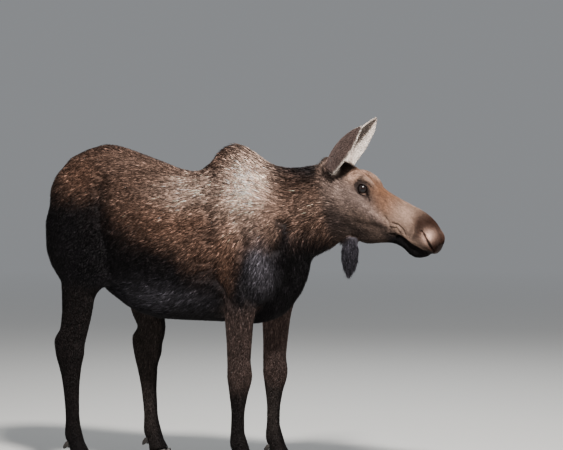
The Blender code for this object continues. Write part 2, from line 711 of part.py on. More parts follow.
def main():
    for old in list(bpy.data.objects):
        bpy.data.objects.remove(old)
    torso = fused("torso", torso_masses(), TORSO_VOXEL, TORSO_SOFTENING, softness)
    body = fused("body", [torso, *head_masses()], BODY_VOXEL, BODY_SOFTENING)

    head = region(body, "head", [(ahead, HEAD_CUT)], TRIANGLES["head"])
    neck = region(body, "neck", [(ahead, NECK_CUT), (behind, HEAD_CUT)], TRIANGLES["neck"])
    trunk = region(body, "trunk", [(behind, NECK_CUT)], TRIANGLES["trunk"])
    foot_of = {foot.name: foot for foot in feet()}
    for side, leg in leg_cuts():
        foot = foot_of[leg.name]
        shank = part_leg(body, side, leg, foot)
        boolean(trunk, "DIFFERENCE", leg_box(side, leg, CUT_GAP))
        for place in (-1, 1):
            label = "outer" if place == side else "inner"
            hoof(foot, place).name = f"{leg.name}_{label}_hoof"
            claw = dewclaw(foot, place)
            claw.name = f"{leg.name}_{label}_dewclaw"
            boolean(shank, "DIFFERENCE", grown(claw))
    bpy.data.objects.remove(body)

    place = head_frame()
    for side in SIDES:
        mirror = Vector((1, side, 1))
        outward = Vector((0, side * EYE_OPENING_OUT, 0))
        opening = mass("opening", EYE_AT * mirror + outward, EYE_OPENING, place=place, rounds=10, tiers=6)
        nostril = mass("nostril", NOSTRIL_AT * mirror, NOSTRIL, NOSTRIL_LEAN, place=place, rounds=10, tiers=6)
        socket = boolean(opening, "UNION", grown(eye(side)))
        for tool in (grown(ear(side)), nostril, socket):
            boolean(head, "DIFFERENCE", tool)
    part_mouth(head)
    boolean(head, "DIFFERENCE", grown(bell()))
    boolean(trunk, "DIFFERENCE", grown(tail()))
    finish()


main()
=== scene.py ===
"""Looks of a cow moose: one skin over the flesh, a coat of tufts, eyes, hooves, studio."""

import math
from collections import namedtuple

import bmesh
import bpy
import numpy as np
from mathutils import Matrix, Vector
from mathutils.bvhtree import BVHTree


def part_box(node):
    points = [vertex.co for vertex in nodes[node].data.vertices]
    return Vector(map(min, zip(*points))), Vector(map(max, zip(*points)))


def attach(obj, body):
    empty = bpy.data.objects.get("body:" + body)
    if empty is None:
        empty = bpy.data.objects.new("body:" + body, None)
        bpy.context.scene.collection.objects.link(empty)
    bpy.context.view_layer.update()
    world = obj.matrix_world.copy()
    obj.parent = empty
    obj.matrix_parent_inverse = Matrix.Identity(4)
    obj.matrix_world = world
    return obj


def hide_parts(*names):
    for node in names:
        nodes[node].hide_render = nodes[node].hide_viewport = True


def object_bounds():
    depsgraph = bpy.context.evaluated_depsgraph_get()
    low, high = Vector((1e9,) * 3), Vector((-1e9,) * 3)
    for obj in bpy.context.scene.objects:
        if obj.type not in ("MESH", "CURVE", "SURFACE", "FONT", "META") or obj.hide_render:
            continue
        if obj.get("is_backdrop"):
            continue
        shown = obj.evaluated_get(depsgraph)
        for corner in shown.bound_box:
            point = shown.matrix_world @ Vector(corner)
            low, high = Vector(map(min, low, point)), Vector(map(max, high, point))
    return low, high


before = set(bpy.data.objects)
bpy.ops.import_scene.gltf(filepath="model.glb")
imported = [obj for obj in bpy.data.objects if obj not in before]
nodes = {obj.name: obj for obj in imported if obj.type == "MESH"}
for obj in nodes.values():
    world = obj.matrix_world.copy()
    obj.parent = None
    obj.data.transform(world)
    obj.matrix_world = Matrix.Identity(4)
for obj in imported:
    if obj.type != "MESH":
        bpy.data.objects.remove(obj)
cad_low, cad_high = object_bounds()
bpy.ops.object.select_all(action="DESELECT")

# ---- the skin -------------------------------------------------------------------------
# One hide over all the flesh, from the nose to the coronets. It is cast from the parted
# flesh as a single closed form, its facets are eased away, and it then lies inside the
# coat's outline by the depth of the hair that grows on it.
HARD = ("eye", "hoof", "dewclaw")
flesh = sorted(name for name in nodes if not any(word in name for word in HARD))
SEAM_GAP = 0.00001  # corners of neighbouring parts that lie nearer than this are one
SKIN_VOXEL = 0.0048
HEAD_EASING, BODY_EASING = 10, 26  # rounds of easing
SKIN_TRIANGLES = 140000
BODY_THINNING = 0.02  # how much sooner the body is thinned than the head

# The head's own frame stands between the eyes' line and the poll: s runs from the poll to
# the nose, y to her left and t up.
HEAD_TURN, HEAD_DROP, HEAD_TIP = math.radians(9), math.radians(36), math.radians(5)
EYE_AT = Vector((0.164, 0.083, 0.066))
EYE_RADIUS = 0.0255
SIDES = ((1, "left"), (-1, "right"))
head_axes = (
    Matrix.Rotation(HEAD_TURN, 3, "Z")
    @ Matrix.Rotation(HEAD_DROP, 3, "Y")
    @ Matrix.Rotation(HEAD_TIP, 3, "X")
)
eye_centres = {}
for hand, label in SIDES:
    low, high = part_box(f"{label}_eye")
    eye_centres[hand] = (low + high) / 2
between_eyes = (eye_centres[1] + eye_centres[-1]) / 2
head_at = between_eyes - head_axes @ Vector((EYE_AT.x, 0, EYE_AT.z))
TO_ROW = np.array(head_axes)  # turns the head's axes to the row's


def head_local(points):
    """Points of the row's frame as s, y and t of the head."""
    return (points - np.array(head_at)) @ TO_ROW


def from_head(points):
    """Points given as s, y and t of the head, in the row's frame."""
    return np.asarray(points) @ TO_ROW.T + np.array(head_at)


def points_of(mesh):
    found = np.empty(len(mesh.vertices) * 3)
    mesh.vertices.foreach_get("co", found)
    return found.reshape(-1, 3)


def set_points(mesh, points):
    mesh.vertices.foreach_set("co", points.astype(np.float32).ravel())
    mesh.update()


def normals_of(mesh):
    """Which way the surface faces at each vertex."""
    found = np.empty(len(mesh.vertices) * 3)
    mesh.vertex_normals.foreach_get("vector", found)
    return found.reshape(-1, 3)


def modified(piece, kind, **settings):
    """Shapes a piece by one modifier, which is then applied."""
    modifier = piece.modifiers.new(kind.title(), kind)
    for key, value in settings.items():
        setattr(modifier, key, value)
    graph = bpy.context.evaluated_depsgraph_get()
    mesh = bpy.data.meshes.new_from_object(piece.evaluated_get(graph))
    piece.modifiers.clear()
    piece.data = mesh


def smoothstep(low, high, value):
    """0 up to low and 1 from high on, with an even rise between. High may be the lower."""
    share = np.clip((value - low) / (high - low), 0.0, 1.0)
    return share * share * (3 - 2 * share)


cast = bmesh.new()
for name in flesh:
    cast.from_mesh(nodes[name].data)
bmesh.ops.remove_doubles(cast, verts=cast.verts, dist=SEAM_GAP)
skin_mesh = bpy.data.meshes.new("skin")
cast.to_mesh(skin_mesh)
cast.free()
skin = bpy.data.objects.new("skin", skin_mesh)
bpy.context.scene.collection.objects.link(skin)
modified(skin, "REMESH", mode="VOXEL", voxel_size=SKIN_VOXEL)


def keep_largest(piece):
    """Drops the small closed shells that are left where two parts met."""
    mesh = piece.data
    links = np.empty(len(mesh.edges) * 2, np.int64)
    mesh.edges.foreach_get("vertices", links)
    links = links.reshape(-1, 2)
    label = np.arange(len(mesh.vertices))
    while True:
        least = np.minimum(label[links[:, 0]], label[links[:, 1]])
        before = label.copy()
        np.minimum.at(label, links[:, 0], least)
        np.minimum.at(label, links[:, 1], least)
        label = label[label]
        if (label == before).all():
            break
    main = np.bincount(label).argmax()
    shape = bmesh.new()
    shape.from_mesh(mesh)
    spare = [vertex for vertex in shape.verts if label[vertex.index] != main]
    bmesh.ops.delete(shape, geom=spare, context="VERTS")
    shape.to_mesh(mesh)
    shape.free()


keep_largest(skin)


def softened(mesh, values, rounds):
    """Values of the vertices, evened out with their neighbours' some rounds over."""
    links = np.empty(len(mesh.edges) * 2, np.int64)
    mesh.edges.foreach_get("vertices", links)
    first, second = links.reshape(-1, 2).T
    count = len(mesh.vertices)
    share = 0.5 / np.maximum(np.bincount(first, minlength=count)
                             + np.bincount(second, minlength=count), 1)
    values = values.reshape(count, -1).copy()
    for _ in range(rounds):
        for column in values.T:
            pull = np.bincount(first, column[second], count)
            pull += np.bincount(second, column[first], count)
            column[:] = 0.5 * column + share * pull
    return values


# The body's surface is eased far more than the head's, and thinned. The head's own, finer
# surface gives way to it between these bounds, behind the head, beside it and below it.
BEHIND_HEAD, BESIDE_HEAD, BELOW_HEAD = (-0.16, -0.06), (0.26, 0.22), (-0.34, -0.28)
WHOLLY_HEAD = 0.99
local = head_local(points_of(skin.data))
in_head = (
    smoothstep(*BEHIND_HEAD, local[:, 0])
    * smoothstep(*BESIDE_HEAD, np.abs(local[:, 1]))
    * smoothstep(*BELOW_HEAD, local[:, 2])
)
eased = softened(skin.data, points_of(skin.data), HEAD_EASING)
more = softened(skin.data, eased, BODY_EASING)
set_points(skin.data, eased * in_head[:, None] + more * (1 - in_head[:, None]))
body = skin.vertex_groups.new(name="body")
for index in np.flatnonzero(in_head < WHOLLY_HEAD):
    body.add([int(index)], 1.0 - float(in_head[index]), "REPLACE")
triangles_now = 2 * len(skin.data.polygons)  # the cast is all squares
modified(
    skin, "DECIMATE", ratio=SKIN_TRIANGLES / triangles_now,
    vertex_group="body", vertex_group_factor=BODY_THINNING,
)
skin.vertex_groups.clear()


def refine(piece, places, reach):
    """Halves the edges near some places on the head, given as s, y and t."""
    shape = bmesh.new()
    shape.from_mesh(piece.data)
    spots = head_local(np.array([vertex.co for vertex in shape.verts]))
    near = np.zeros(len(spots), bool)
    for place in places:
        near |= np.linalg.norm(spots - np.array(place), axis=1) < reach
    edges = [e for e in shape.edges if near[e.verts[0].index] and near[e.verts[1].index]]
    bmesh.ops.subdivide_edges(shape, edges=edges, cuts=1, use_grid_fill=True)
    bmesh.ops.triangulate(shape, faces=shape.faces)
    shape.to_mesh(piece.data)
    shape.free()


FINE_PLACES = [  # on her left
    (EYE_AT.x, 0.075, EYE_AT.z),
    (EYE_AT.x, 0.100, EYE_AT.z),
    (0.440, 0.060, -0.020),  # from here along the lips
    (0.500, 0.060, -0.020),
    (0.560, 0.060, -0.015),
    (0.610, 0.060, 0.010),
    (0.560, 0.070, 0.060),  # from here along the nostril
    (0.620, 0.070, 0.040),
]
FINE_REACH = 0.050
refine(skin, [(s, hand * y, t) for s, y, t in FINE_PLACES for hand in (1, -1)], FINE_REACH)


# ---- how the coat lies ----------------------------------------------------------------
# Short coarse hair covers her from the nose to the coronets. It runs back along the face
# and trunk and down the limbs, stands up in a ridge over the neck and hump, and hangs
# long from the throat and tail.

# Lie: a place, the way the hair runs there, its length, and how far it lifts, in degrees.
Lie = namedtuple("Lie", "place way length lift")
LIE_OF_TRUNK = [  # in the row's frame, on her left; her right side mirrors it
    Lie((-0.980, 0.080, 1.560), (-0.80, 0.05, -0.60), 0.030, 13),
    Lie((-1.060, 0.060, 1.350), (-0.20, 0.00, -1.00), 0.030, 14),
    Lie((-1.000, 0.150, 1.250), (-0.35, 0.10, -1.00), 0.028, 12),
    Lie((-0.960, 0.060, 1.000), (-0.10, -0.20, -1.00), 0.026, 14),
    Lie((-0.780, 0.080, 1.720), (-1.00, 0.15, -0.15), 0.030, 12),
    Lie((-0.800, 0.200, 1.560), (-0.90, 0.10, -0.50), 0.030, 12),
    Lie((-0.830, 0.240, 1.280), (-0.55, 0.00, -0.90), 0.028, 11),
    Lie((-0.640, 0.250, 1.150), (-0.60, 0.00, -0.80), 0.030, 13),
    Lie((-0.620, 0.180, 1.600), (-0.95, 0.10, -0.35), 0.032, 12),
    Lie((-0.420, 0.120, 1.640), (-1.00, 0.20, -0.35), 0.032, 13),
    Lie((-0.400, 0.270, 1.350), (-0.92, 0.00, -0.42), 0.034, 12),
    Lie((-0.360, 0.240, 1.000), (-0.90, -0.05, -0.42), 0.036, 12),
    Lie((-0.350, 0.000, 0.800), (-1.00, 0.00, 0.00), 0.036, 12),
    Lie((-0.650, 0.050, 0.900), (-0.80, 0.00, 0.40), 0.030, 12),
    Lie((-0.200, 0.100, 1.600), (-1.00, 0.20, -0.40), 0.036, 15),
    Lie((-0.120, 0.240, 1.350), (-0.85, 0.05, -0.60), 0.035, 13),
    Lie((-0.120, 0.230, 1.000), (-0.80, 0.00, -0.60), 0.034, 12),
    Lie((0.040, 0.120, 1.640), (-0.75, -0.15, 0.60), 0.034, 11),
    Lie((0.120, 0.190, 1.520), (-0.95, 0.00, 0.20), 0.034, 11),
    Lie((0.100, 0.210, 1.380), (-0.90, 0.05, -0.40), 0.034, 11),
    Lie((0.150, 0.235, 1.200), (-0.40, 0.00, -1.00), 0.032, 12),
    Lie((0.100, 0.235, 1.020), (-0.40, 0.00, -1.00), 0.028, 11),
    Lie((0.250, 0.190, 1.290), (-0.90, 0.10, -0.50), 0.032, 14),
    Lie((0.290, 0.150, 1.200), (0.30, -0.10, -1.00), 0.034, 20),
    Lie((0.260, 0.150, 1.100), (-0.10, -0.10, -1.00), 0.032, 13),
    Lie((0.400, 0.040, 1.200), (0.00, -0.10, -1.00), 0.040, 14),
    Lie((0.300, 0.030, 0.980), (-0.20, 0.00, -1.00), 0.036, 14),
    Lie((0.050, 0.000, 0.800), (-1.00, 0.00, -0.20), 0.034, 12),
    Lie((0.250, 0.130, 1.480), (-0.95, 0.00, 0.20), 0.034, 12),
    Lie((0.400, 0.130, 1.380), (-0.95, 0.05, -0.25), 0.034, 13),
    Lie((0.480, 0.110, 1.500), (-0.90, 0.00, -0.40), 0.032, 13),
    Lie((0.520, 0.040, 1.240), (-0.50, 0.00, -0.85), 0.042, 16),
]
# The ridge of long hair along the top of the neck and over the hump.
LIE_OF_MANE = [
    Lie((0.560, 0.030, 1.640), (-1.00, 0.00, 0.05), 0.045, 14),
    Lie((0.400, 0.010, 1.655), (-1.00, 0.00, -0.05), 0.055, 16),
    Lie((0.220, 0.000, 1.690), (-1.00, 0.00, 0.00), 0.060, 15),
    Lie((0.060, 0.000, 1.740), (-1.00, 0.00, -0.10), 0.060, 13),
    Lie((-0.080, 0.000, 1.720), (-1.00, 0.00, -0.30), 0.052, 13),
    Lie((-0.220, 0.000, 1.640), (-1.00, 0.00, -0.30), 0.040, 12),
    Lie((-0.450, 0.000, 1.680), (-1.00, 0.00, -0.10), 0.034, 12),
    Lie((-0.750, 0.000, 1.735), (-1.00, 0.00, 0.00), 0.032, 12),
]
LIE_OF_HEAD = [  # in the head's frame, on her left
    Lie((-0.030, 0.050, 0.110), (-1.00, 0.10, 0.00), 0.022, 16),
    Lie((0.060, 0.030, 0.130), (-1.00, 0.20, 0.10), 0.018, 14),
    Lie((0.200, 0.030, 0.120), (-1.00, 0.10, 0.00), 0.012, 12),
    Lie((0.350, 0.030, 0.120), (-1.00, 0.10, 0.00), 0.010, 11),
    Lie((0.500, 0.030, 0.130), (-1.00, 0.10, 0.00), 0.009, 10),
    Lie((0.620, 0.030, 0.100), (-0.80, 0.10, 0.50), 0.007, 10),
    Lie((0.660, 0.000, 0.030), (-0.30, 0.40, -0.60), 0.005, 8),
    Lie((0.590, 0.070, 0.050), (-0.90, 0.00, -0.20), 0.006, 9),
    Lie((0.500, 0.072, 0.040), (-1.00, 0.00, -0.20), 0.009, 10),
    Lie((0.400, 0.066, 0.020), (-1.00, 0.00, -0.20), 0.010, 11),
    Lie((0.280, 0.075, 0.020), (-1.00, 0.00, -0.15), 0.014, 10),
    Lie((0.220, 0.090, 0.060), (-0.90, 0.10, 0.35), 0.009, 10),
    Lie((0.165, 0.095, 0.105), (-0.90, 0.10, 0.45), 0.010, 12),
    Lie((0.165, 0.098, 0.030), (-1.00, 0.10, -0.25), 0.009, 10),
    Lie((0.110, 0.095, 0.065), (-1.00, 0.10, 0.10), 0.011, 11),
    Lie((0.040, 0.095, 0.030), (-1.00, 0.10, -0.10), 0.022, 12),
    Lie((0.150, 0.095, -0.060), (-0.95, 0.10, -0.45), 0.019, 11),
    Lie((0.050, 0.090, -0.130), (-0.90, 0.10, -0.55), 0.027, 13),
    Lie((0.150, 0.050, -0.215), (-0.90, 0.00, -0.50), 0.024, 15),
    Lie((0.300, 0.060, -0.120), (-1.00, 0.10, -0.30), 0.016, 13),
    Lie((0.320, 0.000, -0.190), (-1.00, 0.00, -0.10), 0.022, 15),
    Lie((0.430, 0.040, -0.080), (-1.00, 0.10, -0.20), 0.012, 13),
    Lie((0.560, 0.000, -0.085), (-1.00, 0.10, -0.40), 0.012, 15),
    Lie((0.600, 0.040, -0.040), (-1.00, 0.10, -0.20), 0.007, 10),
]
LIE_SHARPNESS = 4  # how steeply a place's pull falls off with distance
NEAREST = 0.02  # added to every distance, so that no place pulls without limit
MIDLINE = 0.02  # a place that lies nearer to her middle than this has no mirror image

# Which part each point of the skin belongs to, and how deep it lies in the parts' outline.
part_of_face, corners, faces_of_flesh = [], [], []
for name in flesh:
    mesh = nodes[name].data
    start = len(corners)
    corners += [vertex.co.copy() for vertex in mesh.vertices]
    faces_of_flesh += [[start + i for i in face.vertices] for face in mesh.polygons]
    part_of_face += [name] * len(mesh.polygons)
outline = BVHTree.FromPolygons(corners, faces_of_flesh)

skin_points = points_of(skin.data)
skin_normals = normals_of(skin.data)
depth_now = np.empty(len(skin_points))
part = np.empty(len(skin_points), object)
for i, point in enumerate(skin_points):
    spot, facing, face, distance = outline.find_nearest(point)
    part[i] = part_of_face[face]
    depth_now[i] = distance if (Vector(point) - spot).dot(facing) < 0 else -distance


def belongs(*words):
    """1 at each point whose part's name holds one of the words, 0 elsewhere."""
    return np.array([any(word in name for word in words) for name in part], float)


def mirrored(lies):
    """The lies of her left side, each followed by its mirror image on her right."""
    found = []
    for lie in lies:
        found.append(lie)
        if abs(lie.place[1]) > MIDLINE:
            flip = np.array((1, -1, 1))
            found.append(lie._replace(place=flip * lie.place, way=flip * lie.way))
    return found


def blended_lies(spots, lies):
    """Way, length and lift at each spot, each place pulling by its nearness."""
    total = np.zeros(len(spots))
    values = np.zeros((len(spots), 5))
    for lie in lies:
        gap = np.linalg.norm(spots - np.array(lie.place), axis=1) + NEAREST
        pull = gap ** -LIE_SHARPNESS
        way = np.array(lie.way) / np.linalg.norm(lie.way)
        values += pull[:, None] * np.array([*way, lie.length, lie.lift])
        total += pull
    return values / total[:, None]


HEAD_MELT = 40  # rounds of easing over which the face's coat gives way to the neck's
lie = blended_lies(skin_points, mirrored(LIE_OF_TRUNK + LIE_OF_MANE))
head_lie = blended_lies(head_local(skin_points), mirrored(LIE_OF_HEAD))
head_lie[:, :3] = head_lie[:, :3] @ TO_ROW.T
on_head = belongs("head", "lower_lip")
head_share = softened(skin.data, on_head, HEAD_MELT)[:, 0]
lie = lie * (1 - head_share)[:, None] + head_lie * head_share[:, None]


def laid(mask, way, length, lift):
    """Lays hair of one kind where a mask says so."""
    way = np.broadcast_to(np.array(way), (len(lie), 3))
    kind = np.column_stack([way, np.broadcast_to(length, len(lie)), np.full(len(lie), lift)])
    lie[:] = lie * (1 - mask)[:, None] + kind * mask[:, None]


LEG_WAY, LEG_LIFT = (-0.12, 0, -1), 10
LEG_TOP, LEG_HAIR, FOOT_HAIR = 0.90, 0.024, 0.014  # the hair is shorter towards the foot
on_leg = belongs("forearm", "gaskin", "shank")
up_leg = np.clip(skin_points[:, 2] / LEG_TOP, 0, 1)
laid(on_leg, LEG_WAY, FOOT_HAIR + (LEG_HAIR - FOOT_HAIR) * up_leg, LEG_LIFT)
BELL_WAY, BELL_HAIR, BELL_LIFT = (-0.05, 0, -1), 0.037, 10
TAIL_WAY, TAIL_HAIR, TAIL_LIFT = (-0.20, 0, -1), 0.045, 10
laid(belongs("bell"), BELL_WAY, BELL_HAIR, BELL_LIFT)
laid(belongs("tail"), TAIL_WAY, TAIL_HAIR, TAIL_LIFT)

# On an ear the hair runs to its point. Its pale inside shows on all that faces its hollow,
# and painted shade darkens a strip down the hollow's depth.
EAR_POINTS = {1: Vector((0.160, 0.060, 0.250)), -1: Vector((0.198, -0.060, 0.217))}
EAR_FACES = {1: Vector((0.80, -0.45, -0.35)), -1: Vector((0.50, 0.80, -0.33))}
EAR_HAIR, EAR_LIFT = 0.012, 13
INSIDE_FACING, POCKET_FACING = (-0.35, 0.05), (0.2, 0.8)  # how squarely it faces the hollow
POCKET_WIDTH, POCKET_OFFSET = 0.019, 0.003
inside_ear, ear_pocket_shade = np.zeros((2, len(skin_points)))
for hand, label in SIDES:
    mask = belongs(f"{label}_ear")
    laid(mask, EAR_POINTS[hand].normalized(), EAR_HAIR, EAR_LIFT)
    cup = skin_normals @ np.array(EAR_FACES[hand].normalized())
    inside_ear += mask * smoothstep(*INSIDE_FACING, cup)
    across_ear = np.array(EAR_POINTS[hand].cross(EAR_FACES[hand]).normalized())
    from_middle = skin_points @ across_ear
    from_middle -= np.average(from_middle, weights=mask)
    from_pocket = (from_middle - POCKET_OFFSET) / POCKET_WIDTH
    ear_pocket_shade += mask * smoothstep(*POCKET_FACING, cup) * np.exp(-from_pocket**2)
LIE_EASING, EAR_EASING, POCKET_EASING = 10, 2, 3  # rounds of easing
lie = softened(skin.data, lie, LIE_EASING)
inside_ear = softened(skin.data, inside_ear, EAR_EASING)[:, 0]
ear_pocket_shade = softened(skin.data, ear_pocket_shade, POCKET_EASING)[:, 0]

# Fold: a line in x and z on each side of her body, how wide and deep the hide dips there.
Fold = namedtuple("Fold", "line width depth")
FOLDS = [
    Fold([(-0.725, 1.580), (-0.710, 1.500), (-0.704, 1.380), (-0.670, 1.200)], 0.034, 0.010),
    Fold([(-0.110, 1.600), (-0.066, 1.380), (-0.056, 1.200), (-0.030, 1.040), (0.060, 0.930)],
         0.026, 0.011),
    Fold([(0.120, 1.260), (0.135, 1.120), (0.150, 1.000), (0.190, 0.915)], 0.022, 0.009),
    Fold([(0.305, 1.350), (0.345, 1.325), (0.352, 1.270), (0.330, 1.215), (0.290, 1.190)],
         0.020, 0.016),
    Fold([(0.352, 1.270), (0.350, 1.150), (0.330, 1.000)], 0.020, 0.009),
]
FLAT_SIDE = (0.35, 0.75)  # how squarely the hide faces sideways where a fold begins and is full


def distance_to_line(points, line):
    """How far flat points lie from a line of straight runs."""
    nearest = np.full(len(points), np.inf)
    for start, end in zip(line, line[1:]):
        start, along = np.array(start), np.array(end) - np.array(start)
        share = np.clip((points - start) @ along / (along @ along), 0, 1)
        gap = np.linalg.norm(points - start - share[:, None] * along, axis=1)
        nearest = np.minimum(nearest, gap)
    return nearest


on_flat_side = smoothstep(*FLAT_SIDE, np.abs(skin_normals[:, 1])) * belongs("trunk", "neck")
folded = np.zeros(len(skin_points))
for fold in FOLDS:
    gap = distance_to_line(skin_points[:, [0, 2]], fold.line)
    folded = np.maximum(folded, fold.depth * np.exp(-(gap / fold.width) ** 2) * on_flat_side)

# The skin sinks to the roots of the hair, so that the tips reach the outline.
HAIR_ROOM = 0.9  # the room that the skin leaves for the hair, as a share of the hair's rise
THIN_WALL = 0.0035  # most that the hair may take from each side of an ear
SINK_EASING = 8
hair_depth = lie[:, 3] * np.sin(np.radians(lie[:, 4])) * HAIR_ROOM
hair_depth = np.where(belongs("ear") > 0, np.minimum(hair_depth, THIN_WALL), hair_depth)
sink = softened(skin.data, hair_depth - depth_now, SINK_EASING)[:, 0] + folded
set_points(skin.data, skin_points - skin_normals * sink[:, None])


# ---- the face -------------------------------------------------------------------------
# Bare and short-haired skin shows every fold here: the lids wrap the eye, the lips part
# along a soft line, and the nostril is a long slit under a fleshy wing.

# Crease: a line in s and t on each side of the head, how wide and deep it is pressed in.
Crease = namedtuple("Crease", "line width depth")
BETWEEN_LIPS = Crease(
    [(0.446, -0.030), (0.483, -0.021), (0.551, -0.018), (0.602, -0.010), (0.642, 0.009)],
    0.0055, 0.0120,
)
NOSTRIL = Crease(
    [(0.541, 0.070), (0.566, 0.063), (0.596, 0.051), (0.622, 0.037), (0.644, 0.024)],
    0.0060, 0.0120,
)
CREASES = [
    BETWEEN_LIPS,
    Crease([(0.446, -0.030), (0.428, -0.034), (0.410, -0.048)], 0.0055, 0.0080),
    NOSTRIL,
    Crease([(0.388, 0.008), (0.420, 0.021), (0.452, 0.017), (0.480, 0.002)], 0.0055, 0.0090),
    Crease([(0.392, -0.016), (0.422, 0.002), (0.455, -0.006)], 0.0055, 0.0080),
    Crease([(0.340, 0.012), (0.372, 0.002), (0.392, -0.016), (0.400, -0.034)], 0.0070, 0.0055),
    Crease([(0.500, 0.060), (0.512, 0.040), (0.516, 0.018)], 0.0080, 0.0030),
    Crease([(0.118, 0.084), (0.140, 0.101), (0.168, 0.106), (0.196, 0.098)], 0.0055, 0.0090),
    Crease([(0.136, 0.038), (0.160, 0.031), (0.188, 0.036), (0.206, 0.050)], 0.0050, 0.0030),
    Crease([(0.190, 0.062), (0.208, 0.050), (0.232, 0.030)], 0.0060, 0.0065),  # tear trough
    Crease([(0.232, 0.022), (0.268, 0.004), (0.306, 0.006)], 0.0080, 0.0030),
    Crease([(0.230, -0.110), (0.300, -0.075), (0.370, -0.050)], 0.0180, 0.0060),
]
# Swelling: a place in s and t on each side, its radius and how far it stands out.
Swelling = namedtuple("Swelling", "s t radius height")
SWELLINGS = [
    Swelling(0.618, 0.068, 0.030, 0.006),  # the wing over the nostril
    Swelling(0.575, 0.030, 0.020, 0.003),
    Swelling(0.438, -0.006, 0.016, 0.007),  # folds over the mouth's corner
    Swelling(0.418, 0.030, 0.016, 0.003),
    Swelling(0.530, 0.000, 0.026, 0.005),
    Swelling(0.590, 0.008, 0.024, 0.004),
    Swelling(0.156, 0.096, 0.016, 0.003),
]
LID_OPENING = (0.0245, 0.0195)  # half width and half height of the eye's opening
LID_EDGE = (1.12, 0.88)  # the lids' rim, as squared shares of the opening
LID_LEAN = math.radians(-14)
LID_THICKNESS, UPPER_LID = 0.0040, 0.7  # the upper lid stands out further by this share
UPPER_FROM = (-0.3, 0.8)  # where the upper lid begins and is full, as shares of the opening
LID_SPAN = (0.029, 0.019)  # half width and half height of both lids together
LID_FIRM, LID_REACH = 1.3, 2.9  # up to where they are full and where they end, as squared shares
LIDS_OUTSIDE = -0.010  # the lids are only on the outer side of this depth beside the eye's middle
BEHIND_EYE = 0.82  # where the skin lies under the eyeball, as a share of its radius
EDGE_ON = 0.35  # how far creases run on over skin that faces along the head
FACE_HALF_WIDTH, POLL = 0.16, (-0.05, 0.0)  # they end at the ears and at the back of the head


def beside_eye(spots, hand):
    """Where spots lie from an eye, and how far along its lids and across them."""
    offset = spots - np.array((EYE_AT.x, hand * EYE_AT.y, EYE_AT.z))
    along = math.cos(LID_LEAN) * offset[:, 0] + math.sin(LID_LEAN) * offset[:, 2]
    across = math.cos(LID_LEAN) * offset[:, 2] - math.sin(LID_LEAN) * offset[:, 0]
    return offset, along, across


def in_oval(along, across, halves):
    """Squared share of the way out to an oval's edge."""
    return (along / halves[0]) ** 2 + (across / halves[1]) ** 2


def sculpted_face(mesh):
    """Presses the creases in, swells the swellings and wraps the lids round the eyes."""
    local = head_local(points_of(mesh))
    outward = normals_of(mesh) @ TO_ROW
    side = np.sign(local[:, 1])
    facing = np.clip(outward[:, 1] * side + EDGE_ON, 0, 1)
    facing *= (np.abs(local[:, 1]) < FACE_HALF_WIDTH) * smoothstep(*POLL, local[:, 0])
    move = np.zeros(len(local))
    flat = local[:, [0, 2]]
    for crease in CREASES:
        gap = distance_to_line(flat, crease.line)
        move -= crease.depth * np.exp(-(gap / crease.width) ** 2)
    for swelling in SWELLINGS:
        gap = np.linalg.norm(flat - np.array((swelling.s, swelling.t)), axis=1)
        move += swelling.height * np.exp(-(gap / swelling.radius) ** 2)
    local += outward * (move * facing)[:, None]

    for hand in (1, -1):
        offset, along, across = beside_eye(local, hand)
        spread = in_oval(along, across, LID_SPAN)
        near = (spread < LID_REACH) & (offset[:, 1] * hand > LIDS_OUTSIDE)
        span = np.linalg.norm(offset, axis=1)
        upper = smoothstep(*UPPER_FROM, across / LID_OPENING[1])
        lid = EYE_RADIUS + LID_THICKNESS * (1 + UPPER_LID * upper)
        out = lid / span
        inside = smoothstep(*LID_EDGE, in_oval(along * out, across * out, LID_OPENING))
        wanted = lid * (1 - inside) + EYE_RADIUS * BEHIND_EYE * inside
        hold = near * smoothstep(LID_REACH, LID_FIRM, spread)
        change = (wanted / span - 1)[:, None] * offset
        local += change * hold[:, None]
    set_points(mesh, from_head(local))


sculpted_face(skin.data)
skin.data.shade_smooth()


# ---- the markings and painted light ---------------------------------------------------
# Her colours and painted light, laid into hide and hair alike: brown, with a black ridge along
# the neck. The pale over the shoulders and ribs is painted highlight, and the slate grey on the
# belly and upper foreleg and the grey along the cheeks are painted sheen. The underparts, legs,
# lips and lids are near black, the underparts partly from painted shade, and the muzzle and the
# insides of the ears are pale. Painted shade darkens the folds and creases, the hollow of each
# ear, the head behind the ears' bases and the face under the jaw.
def tone(red, green, blue):
    """A colour by its screen values, from 0 to 255, made linear."""
    shares = np.array((red, green, blue)) / 255
    return np.where(shares > 0.04045, ((shares + 0.055) / 1.055) ** 2.4, shares / 12.92)


BROWN, DARK, BLACK = tone(80, 61, 52), tone(36, 28, 26), tone(12, 10, 12)
PALE_HIGHLIGHT, SLATE_SHEEN, RUST = tone(255, 220, 200), tone(73, 70, 76), tone(104, 76, 62)
TAN, ASH, CHESTNUT = tone(136, 110, 97), tone(124, 106, 99), tone(110, 77, 57)
WHITISH, SHIN, EAR_BACK = tone(208, 196, 186), tone(44, 38, 36), tone(58, 47, 44)
FACE, FAWN, UMBER = tone(80, 66, 59), tone(152, 126, 111), tone(38, 21, 14)
ROSE, SAND = tone(226, 186, 168), tone(190, 154, 134)
LEG, BELL = tone(16, 12, 12), tone(50, 48, 54)
DARK_MELT = (0.07, -0.10)  # how far above and below the next line the dark fades
# How high on her side the dark of the underparts reaches, along her length: x and z. The dark is
# partly her own black coat and partly painted shade under her lit upper body.
DARK_BELOW = [
    (-1.10, 1.49), (-0.72, 1.47), (-0.55, 1.37), (-0.30, 1.23), (-0.08, 1.12),
    (0.05, 1.14), (0.15, 1.22), (0.30, 1.26), (0.55, 1.28),
]
